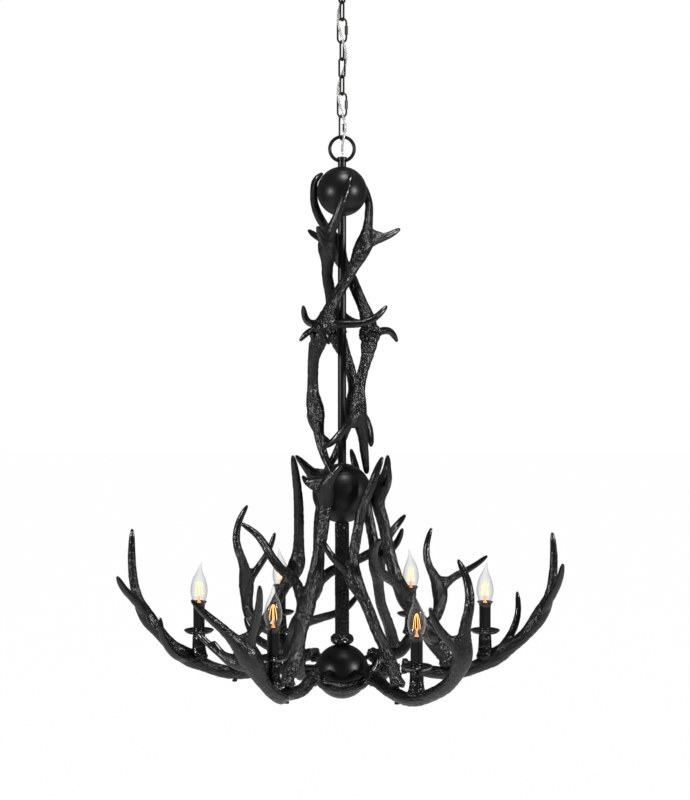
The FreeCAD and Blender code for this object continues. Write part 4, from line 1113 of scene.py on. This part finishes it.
def stem_skin(angle, radius, height):
    """Ribs that wander up the stem, and knobs round its burr; always inward."""
    over = height - STEM_FOOT
    wander = 0.35 * math.sin(over / 38.0)
    ribs = abs(math.sin(STEM_RIBS * (angle + wander) / 2 + 0.6 * math.sin(3 * angle)))
    place = Vector((math.cos(angle) * 3.1, math.sin(angle) * 3.1, over * 0.12))
    pebble = mathutils_noise.noise(place * 1.9)
    if over < STEM_BURR_HEIGHT:
        spot = Vector((math.cos(angle) * 4, math.sin(angle) * 4, over * 0.24))
        knob = mathutils_noise.noise(spot)
        return -0.3 - 3.2 * max(0.0, knob + 0.25)
    return -1.9 * (1 - ribs) ** 2 - 0.7 * max(0.0, pebble + 0.2)


def stem_radius(over):
    """The burr's round bulge at the foot, then the stem."""
    half = STEM_BURR_HEIGHT / 2
    if over >= STEM_BURR_HEIGHT:
        return STEM_RADIUS
    bulge = math.sqrt(max(0.0, 1 - ((over - half) / half) ** 2))
    return max(STEM_RADIUS, STEM_BURR_RADIUS - half + half * bulge) if bulge > 0.02 else STEM_RADIUS


stem_levels = [STEM_TALL * step / STEM_STEPS for step in range(STEM_STEPS + 1)]
stem_profile = [(stem_radius(over), STEM_FOOT + over) for over in stem_levels]
stem = turned_mesh(stem_profile, AXIS, 132, stem_skin)
piece_from("lower_stem_cast", stem, ANTLER, HUB, "lower_stem", 80.0)
print("stem is %.0f mm tall" % STEM_TALL)

# %% [markdown]
# The ring at the top is bent wire welded to a turned neck with a flange.  It carries the
# whole light, so it is the thickest wire here.

# %% Hanging ring
low, high = node_box("hanging_ring")
RING_WIRE = 7.0
RING_STEPS = 96
PAINT_PLAY = 0.02
NECK_UNDER_RING = 16.0
RING_RADIUS = (high[0] - low[0] - RING_WIRE) / 2
RING_LEVEL = high[2] - RING_WIRE / 2 - RING_RADIUS
NECK_TOP = RING_LEVEL - NECK_UNDER_RING
BALL_TOP = node_box("upper_ball")[1][2]
around_ring = [TURN * step / RING_STEPS for step in range(RING_STEPS)]
circle = [(RING_RADIUS * math.cos(a), 0.0, RING_LEVEL + RING_RADIUS * math.sin(a))
          for a in around_ring]
ring_wire = wire_mesh(circle, RING_WIRE / 2 - PAINT_PLAY, 24, True, (0.0, 1.0, 0.0))
print("ring radius %.1f mm at %.1f, ball top %.1f" % (RING_RADIUS, RING_LEVEL, BALL_TOP))

# %% Neck of the hanging ring
neck_profile = smooth_profile([
    (2.8, BALL_TOP + 0.3), (8.45, BALL_TOP + 0.3), (8.45, NECK_TOP - 7.0), (9.95, NECK_TOP - 6.2),
    (9.95, NECK_TOP - 0.8), (8.6, NECK_TOP), (2.8, NECK_TOP)], 0.8)
ring = joined([ring_wire, turned_mesh(neck_profile, AXIS, 64)])
piece_from("hanging_ring_bent", ring, SATIN, HUB, "hanging_ring", 40.0)
print("ring and neck made")

# %% [markdown]
# Six oval links and three longer quick links hang below the canopy's loop, each turned a
# quarter from the last.  A quick link has a gap in one bar, closed by a hexagon sleeve
# nut; it lets a fitter hook the light on.  A torus would be too round for a link, so the
# wire follows two straight bars and two half circles.

# %% Chain
LINK_WIRE = 4.0
CHAIN_ORDER = (
    "chain_link_1", "chain_link_2", "chain_link_3", "quick_link_1", "chain_link_4",
    "chain_link_5", "chain_link_6", "quick_link_2", "quick_link_3")
LINK_TURNS = (60.0, -30.0)
OVAL_WIDTH = 17.0
QUICK_WIDTH = 24.0
QUICK_GAP = 12.0
BEND_STEPS = 25
BAR_STEPS = 6


def link_line(width, top, bottom, gap):
    """Centre points of a link's wire in its own plane; it starts at the gap's upper edge."""
    bend = (width - LINK_WIRE) / 2
    high, low = top - bend, bottom + bend
    centre = (high + low) / 2
    upper = np.linspace(0, math.pi, BEND_STEPS)
    lower = np.linspace(math.pi, TURN, BEND_STEPS)
    line = [(bend, 0.0, centre + gap / 2), (bend, 0.0, (centre + gap / 2 + high) / 2)]
    line += [(bend * math.cos(a), 0.0, high + bend * math.sin(a)) for a in upper]
    line += [(-bend, 0.0, z) for z in np.linspace(high, low, BAR_STEPS)[1:-1]]
    line += [(bend * math.cos(a), 0.0, low + bend * math.sin(a)) for a in lower]
    line += [(bend, 0.0, (centre - gap / 2 + low) / 2), (bend, 0.0, centre - gap / 2)]
    return line


def about_rod(points, turn):
    return [(*turned_about_rod(x, y, turn), z) for x, y, z in points]


link_spans = []
for number, node in enumerate(CHAIN_ORDER):
    low, high = node_box(node)
    top, bottom = high[2] - LINK_WIRE / 2, low[2] + LINK_WIRE / 2
    link_spans.append((top, bottom))
    quick = node.startswith("quick")
    width, gap = (QUICK_WIDTH, QUICK_GAP) if quick else (OVAL_WIDTH, 0.0)
    line = about_rod(link_line(width, top, bottom, gap), LINK_TURNS[number % 2])
    side = about_rod([(0.0, 1.0, 0.0)], LINK_TURNS[number % 2])[0]
    if not quick:
        line = line[1:-1]
    link = wire_mesh(line, LINK_WIRE / 2 - PAINT_PLAY, 20, not quick, side)
    piece_from(node + "_bent", link, CHAIN, node, node, 50.0)
print("links from %.1f down to %.1f mm" % (link_spans[0][0], link_spans[-1][1]))

# %% [markdown]
# A clear cord carries the mains down from the canopy.  It is threaded in and out of the
# links, down into the ring's neck.  The construction model's cord turns its corners in
# arcs; here a smooth spline has those corners, in metres, as its control points, and
# keeps close to it.  The cord is made in stretches, cut at the middle of each link.

# %% Route of the clear cord
CORD_SWING = 0.009
CANOPY_LEVELS = (-0.0025, -0.0303, -0.0458)
EYE_LEVEL = -0.0558
FIRST_LINK_ANGLE = -30.0
LAST_ANGLE = -80.0
RING_PASS = 14.0
OVER_NECK = 9.0
INTO_BALL = 4.0

route = [(0.0, 0.0, level) for level in CANOPY_LEVELS] + [(0.0, -CORD_SWING, EYE_LEVEL)]
for number, (top, bottom) in enumerate(link_spans):
    angle = FIRST_LINK_ANGLE + 90.0 * number
    route.append(on_circle(CORD_SWING, angle, (top + bottom) / 2 * MM))
    if number < len(link_spans) - 1:
        route.append(on_circle(CORD_SWING, angle + 45.0, bottom * MM))
route += [
    on_circle(CORD_SWING, LAST_ANGLE, (RING_LEVEL + RING_PASS) * MM),
    (0.0, 0.0, (NECK_TOP + OVER_NECK) * MM), (0.0, 0.0, (BALL_TOP - INTO_BALL) * MM)]

curve = bpy.data.curves.new("cord route", "CURVE")
curve.dimensions = "3D"
curve.resolution_u = 16
spline = curve.splines.new("NURBS")
spline.points.add(len(route) - 1)
for point, place in zip(spline.points, route):
    point.co = (*place, 1.0)
spline.order_u = 3
spline.use_endpoint_u = True
guide = in_scene("cord route", curve)
bpy.context.view_layer.update()
traced = bpy.data.meshes.new_from_object(guide)
cord_line = mesh_points(traced)
bpy.data.objects.remove(guide)
cord_run = run_along(cord_line)
print("cord route has", len(route), "control points and runs %.0f mm" % cord_run[-1])

# %% Cord: a clear jacket over two twisted wires
CORD_RADIUS = 2.45
WIRE_OFFSET = 0.95
WIRE_RADIUS = 0.8
TWIST_PITCH = 22.0
HINGE_REACH = 0.007


def twisted_wire(line, start_run, phase):
    """A wire that winds round the cord's line inside its jacket."""
    firsts, others = frames_along(line)
    winding = (TURN * (start_run + run_along(line)) / TWIST_PITCH + phase)[:, None]
    return line + WIRE_OFFSET * (np.cos(winding) * firsts + np.sin(winding) * others)


hinges = [link_spans[0][0]]
hinges += [(above[1] + below[0]) / 2 for above, below in zip(link_spans, link_spans[1:])]
hinges.append(link_spans[-1][1])
cuts = [0]
for top, bottom in link_spans:
    cuts.append(int(np.argmin(np.abs(cord_line[:, 2] - (top + bottom) / 2))))
cuts.append(len(cord_line) - 1)
for part, (first, last) in enumerate(zip(cuts, cuts[1:])):
    stretch = cord_line[first:last + 1]
    jacket = wire_mesh(stretch, CORD_RADIUS, 18)
    cores = joined([
        wire_mesh(twisted_wire(stretch, cord_run[first], phase), WIRE_RADIUS, 8)
        for phase in (0.0, math.pi)])
    for kind, shape, finish in (("jacket", jacket, JACKET), ("wires", cores, WIRE)):
        mesh = raw_mesh("cord_%s_%d" % (kind, part + 1), *shape)
        shade_smooth(mesh)
        mesh.materials.append(finish)
        thing = in_scene("power_cord_%s_%d" % (kind, part + 1), mesh)
        level = hinges[part] * MM
        level + HINGE_REACH
        level - HINGE_REACH
        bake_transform(thing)
        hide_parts("power_cord")
print("cord made in", len(cuts) - 1, "stretches")

# %% [markdown]
# Each lamp stands on a short stub of antler: a dished drip pan with a turned collar, a
# candle tube with a flared cup at its top, and a screwed socket hidden in the tube.  The
# pans are pressed, so they are thin with a rolled lip; the cups are pressed in flutes.

# %% Candle places
PLACES = [
    (*on_circle(CANDLE_REACH, angle)[:2], CANDLE_PLANE - drop)
    for angle, drop in zip(CANDLE_ANGLES, CANDLE_DROPS)]
PAN_PROFILE = smooth_profile([
    (5.2, 0.0), (20.0, 0.0), (25.5, 1.4), (29.2, 5.0), (30.0, 6.2), (29.5, 7.0), (28.6, 6.4),
    (25.0, 3.0), (19.6, 2.0), (14.4, 2.0), (14.4, 3.4), (12.4, 5.0), (12.8, 6.6), (12.2, 8.0),
    (5.2, 8.0)], 1.0, 3)
CUP_FLUTES = 12
FLUTE_DEPTH = 0.8
TUBE_FOOT = 8.3
CUP_FROM = 47.0
CUP_TALL = 8.0


def cup_wave(angle, radius, height):
    """The flared cup's rim is pressed in shallow flutes; the tube below is plain."""
    lip = min(1.0, max(0.0, (height - TUBE_FOOT - CUP_FROM) / CUP_TALL))
    return -lip * FLUTE_DEPTH * (0.5 + 0.5 * math.cos(CUP_FLUTES * angle))


TUBE_PROFILE = [(reach, level + TUBE_FOOT) for reach, level in smooth_profile([
    (10.0, 0.0), (11.1, 0.0), (11.5, 0.6), (11.5, 2.6), (11.1, 3.2), (11.5, 3.8), (11.5, 43.0),
    (11.9, 47.0), (13.2, 50.4), (15.4, 53.6), (16.5, 55.0), (15.2, 55.0), (12.4, 51.4),
    (10.2, 47.5), (10.0, 44.0), (10.0, 0.0)], 0.8, 3)]


def at_every_lamp(profile, around, wobble=None):
    return joined([turned_mesh(profile, place, around, wobble) for place in PLACES])


pans = at_every_lamp(PAN_PROFILE, 72)
piece_from("drip_pans_pressed", pans, GLOSS, HUB, "drip_pans", 50.0)
tubes = at_every_lamp(TUBE_PROFILE, 72, cup_wave)
piece_from("candle_tubes_drawn", tubes, GLOSS, HUB, "candle_tubes", 50.0)
print("six lamps at", [tuple(round(c) for c in place) for place in PLACES])

# %% [markdown]
# The stubs under the pans are cut antler: knobby where they grow out of the arm and
# pebbled above.  They are turned with noise for a skin and given the antler paint.

# %% Stubs under the pans
STUB_FOOT = 17.0
STUB_WAIST = 13.5
STUB_BORE = 4.6
STUB_SINK = 6.0
PAN_PLAY = 0.3
SPLITS = 3


def stub_skin(angle, radius, height):
    """Knobs at the foot and ribs above; always inward."""
    place = Vector((math.cos(angle) * 2.6, math.sin(angle) * 2.6, height * 0.21))
    rough = mathutils_noise.noise(place * 1.6)
    ribs = abs(math.sin(4.5 * angle + 0.02 * height))
    foot = max(0.0, (radius - STUB_WAIST) / 5.0)
    return -0.2 - (1.3 + 2.0 * foot) * max(0.0, rough + 0.25) - 0.6 * (1 - ribs) ** 2


stubs = []
for number, (x, y, level) in enumerate(PLACES):
    tall = level - PAN_PLAY - (CANDLE_PLANE + BEAM_LEVELS[number] + ARM_RADIUS - STUB_SINK)
    profile = smooth_profile([
        (STUB_BORE, -tall), (STUB_FOOT, -tall), (STUB_FOOT + 2.0, 4.5 - tall),
        (15.6, 11.0 - tall), (13.8, -tall * 0.5), (13.2, -8.0), (12.6, -2.5),
        (9.0, -PAN_PLAY), (STUB_BORE, -PAN_PLAY)], 3.0, 6)
    rows = []
    for (r0, z0), (r1, z1) in zip(profile, profile[1:]):
        for step in range(SPLITS):
            rows.append((r0 + (r1 - r0) * step / SPLITS, z0 + (z1 - z0) * step / SPLITS))
    rows.append(profile[-1])
    stubs.append(turned_mesh(rows, (x, y, level), 64, stub_skin))
piece_from("candle_stubs_cast", joined(stubs), ANTLER, HUB, "candle_pedestals",
           80.0)
print("stubs cast")

# %% [markdown]
# The bulbs are clear candle bulbs with a bent tip, like a flame in a draught.  Blown
# glass this thin hardly bends light, so it is one surface that is clear where it faces
# the viewer and shows a grey rim where it turns away, as Layer Weight gives it; the rim
# is a painted reflection.  Four slim filaments lean together on a glass mount and glow
# amber; the mount's warm light from them is a painted glow, an emission of its own, as
# a real bulb's mount shows it.

# %% Flame bulbs
FLAME = [
    (6.3, 21.0), (9.1, 24.0), (11.6, 28.0), (14.2, 34.0), (16.4, 42.0), (17.35, 49.5),
    (16.9, 57.0), (14.9, 66.0), (12.3, 75.0), (7.4, 84.5), (4.4, 92.5), (2.5, 99.5),
    (1.7, 104.5), (1.1, 107.2), (0.15, 108.0)]
FLAME_ROWS = 70
FLAME_PASSES = 12
TIP_BEND = 6.5
BEND_FROM = 72.0
BEND_TALL = 36.0


def flame_wall():
    """The flame's profile, eased, a hair inside the glass of the construction model."""
    reaches, heights = np.array(FLAME).T
    at = np.linspace(heights[0] + SKIN_INSET, heights[-1] - SKIN_INSET * 1.4, FLAME_ROWS)
    wall = eased(np.interp(at, heights, reaches), FLAME_PASSES)
    wall[0], wall[-1] = reaches[0], reaches[-1]
    return [(max(0.1, reach - SKIN_INSET), level) for reach, level in zip(wall, at)]


def bent_tip(points, centre, lean):
    """The tip leans over, more and more towards its end."""
    bent = []
    for x, y, z in points:
        over = max(0.0, (z - centre[2] - BEND_FROM) / BEND_TALL)
        shift = TIP_BEND * over ** 2
        bent.append((x + shift * math.cos(lean), y + shift * math.sin(lean), z))
    return bent


def in_bulb(points, centre, lean):
    """Upright points of a bulb's own, turned and set in their place."""
    across, along = math.cos(lean), math.sin(lean)
    return [(centre[0] + x * across - y * along, centre[1] + x * along + y * across, centre[2] + z)
            for x, y, z in points]


THREADS = 5
THREAD_PITCH = 2.7
SCREW_SHELL = [(0.1, 0.0), (2.6, 0.4), (4.2, 1.0), (4.4, 2.6), (6.3, 3.4)]
for thread in range(THREADS):
    SCREW_SHELL += [(6.7, 4.6 + thread * THREAD_PITCH), (6.1, 5.9 + thread * THREAD_PITCH)]
SCREW_SHELL += [(6.5, 18.0), (6.7, 21.8), (6.2, 22.2), (0.1, 22.2)]
GLASS_MOUNT = [(5.4, 22.4), (4.2, 26.0), (1.8, 31.0), (1.6, 40.0), (0.1, 41.0)]
FILAMENT_RISE = ((2.2, 34.5), (6.0, 38.5), (6.6, 46.0), (5.2, 56.0), (3.2, 64.0), (1.2, 68.0))
FILAMENT_TURNS = (20.0, 110.0, 200.0, 290.0)
SUPPORT_RADIUS = 0.25
FILAMENT_RADIUS = 0.5
FILAMENT_STEP = 1.6
LEAN_STEP = 40.0


def filament_line(turn):
    """One slim filament: from the stem's top out and up, leaning back to the middle."""
    return [on_circle(reach, turn, level) for reach, level in FILAMENT_RISE]


print("a bulb is %.0f mm tall over its foot" % FLAME[-1][1])

# %% Six bulbs
for number, (x, y, level) in enumerate(PLACES, start=1):
    body = "bulb_%d" % number
    centre = (x, y, level + BULB_OVER_PAN)
    lean = math.radians(CANDLE_ANGLES[number - 1] + LEAN_STEP * number)
    points, faces = turned_mesh(flame_wall(), centre, 64)
    flame = (bent_tip(points, centre, lean), faces)
    piece_from(body + "_glass", flame, GLASS, body, body, 80.0)
    shell = turned_mesh(smooth_profile(SCREW_SHELL, 0.7, 3), centre, 48)
    piece_from(body + "_shell", shell, BRASS, body, body)
    mount = turned_mesh(smooth_profile(GLASS_MOUNT, 1.5), centre, 24)
    # The mount carries a painted glow for the filaments' light on it.
    piece_from(body + "_stem", mount, MOUNT_PAINTED_GLOW, body, None, 80.0)
    hot, cold = [], []
    for turn in FILAMENT_TURNS:
        at = in_bulb(filament_line(turn), centre, lean)
        line = smooth_line([(*place, FILAMENT_RADIUS) for place in at], FILAMENT_STEP)[0]
        cut = max(3, len(line) // 5)
        cold.append(wire_mesh(line[:cut + 1], SUPPORT_RADIUS, 8))
        hot.append(wire_mesh(line[cut:], FILAMENT_RADIUS, 10))
    piece_from(body + "_supports", joined(cold), STEEL, body, None, 60.0)
    piece_from(body + "_filaments", joined(hot), FILAMENT, body, None, 60.0)
print("six bulbs lit")

# %% [markdown]
# Some nodes of the frame have the right shape already: the strap, nipple and nut hidden
# in the canopy, the canopy with its collar and loop, the sleeve nuts, the hub with its
# tubes and end nut, the screws, the pins and the sockets.  They keep their shape and
# only get their finish.

# %% Finishes of the nodes that stay
SOCKET = enamel("socket plastic", 0.5, 0.02, 0.00005, 0.0)
STAYING = {
    "ceiling_strap": STEEL, "threaded_nipple": BRASS, "strap_lock_nut": STEEL,
    "ceiling_canopy": SATIN, "canopy_collar": SATIN, "canopy_loop": CHAIN,
    "quick_link_nut_1": CHAIN, "quick_link_nut_2": CHAIN, "quick_link_nut_3": CHAIN,
    "wiring_hub": SATIN, "end_nut": STEEL, "antler_screws": SATIN, "burr_pins": STEEL,
    "lamp_sockets": SOCKET}
for node, finish in STAYING.items():
    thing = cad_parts[node]
    if not thing.material_slots:
        thing.data.materials.append(finish)
    for slot in thing.material_slots:
        slot.material = finish
print("finished", len(STAYING), "nodes that stay")

# %% [markdown]
# The studio: a pale floor well below the light, an even surround, and small soft boxes:
# two in front, left and right, that put the soft spots on the balls, and one above.  The
# surround looks white to the camera and through glass; as a lamp, and in reflections, it
# is kept dim, because a white room would turn the black paint grey.

# %% Floor
FLOOR_LEVEL = -2.35
FLOOR_REACH = 14.0
FLOOR_WHITE = 0.99
WHITE = (1.0, 1.0, 1.0, 1.0)
CORNERS = ((-1, -1), (1, -1), (1, 1), (-1, 1))

floor_mesh = bpy.data.meshes.new("studio floor")
floor_mesh.from_pydata(
    [(x * FLOOR_REACH, y * FLOOR_REACH, FLOOR_LEVEL) for x, y in CORNERS], [], [(0, 1, 2, 3)])
floor = in_scene("studio_floor", floor_mesh)
paper = Finish("floor paper", (0.92, 0.92, 0.92), 0.9)
tooth = paper.noise(220.0, 3.0)
paper.bump(tooth, 0.0004, 0.2)
to_camera = paper.start.node("ShaderNodeLightPath", output="Is Camera Ray")
lit = paper.start.node("ShaderNodeEmission", None, {"Color": WHITE, "Strength": 1.0})
mixed = paper.start.node("ShaderNodeMixShader", None, {0: to_camera * FLOOR_WHITE, 2: lit})
paper.tree.links.new(paper.shader.outputs[0], mixed.socket.node.inputs[1])
paper.tree.links.new(mixed.socket, paper.tree.nodes["Material Output"].inputs["Surface"])
floor_mesh.materials.append(paper.material)
print("floor laid at %.2f m" % FLOOR_LEVEL)

# %% Surround and soft boxes
PLAIN_LEVEL = 0.18

world = bpy.data.worlds.new("studio surround")
bpy.context.scene.world = world
world.use_nodes = True
tree = world.node_tree
background = tree.nodes["Background"]
background.inputs["Color"].default_value = WHITE
sky = Wire(tree, None)
camera_ray = sky.node("ShaderNodeLightPath", output="Is Camera Ray")
clear_ray = sky.node("ShaderNodeLightPath", output="Is Transmission Ray")
shown = (camera_ray + clear_ray).clamped()
strength = shown * (1.0 - PLAIN_LEVEL) + PLAIN_LEVEL
tree.links.new(strength.socket, background.inputs["Strength"])


def soft_box(name, place, aim, side, watts):
    """A square area lamp that faces a point; its side is in metres."""
    data = bpy.data.lights.new(name, "AREA")
    data.shape = "SQUARE"
    data.size = side
    data.energy = watts
    lamp = in_scene(name, data)
    lamp.location = place
    direction = Vector(aim) - Vector(place)
    lamp.rotation_euler = direction.to_track_quat("-Z", "Y").to_euler()


LOW_MIDDLE = (0.0, 0.0, -1.1)
soft_box("soft_box_left", (-2.4, -1.7, -0.6), LOW_MIDDLE, 0.4, 95.0)
soft_box("soft_box_right", (2.4, -1.5, -0.4), LOW_MIDDLE, 0.4, 110.0)
soft_box("soft_box_top", (0.3, -0.7, 1.4), LOW_MIDDLE, 0.5, 70.0)
print("studio lit by", len(bpy.data.lights), "soft boxes")
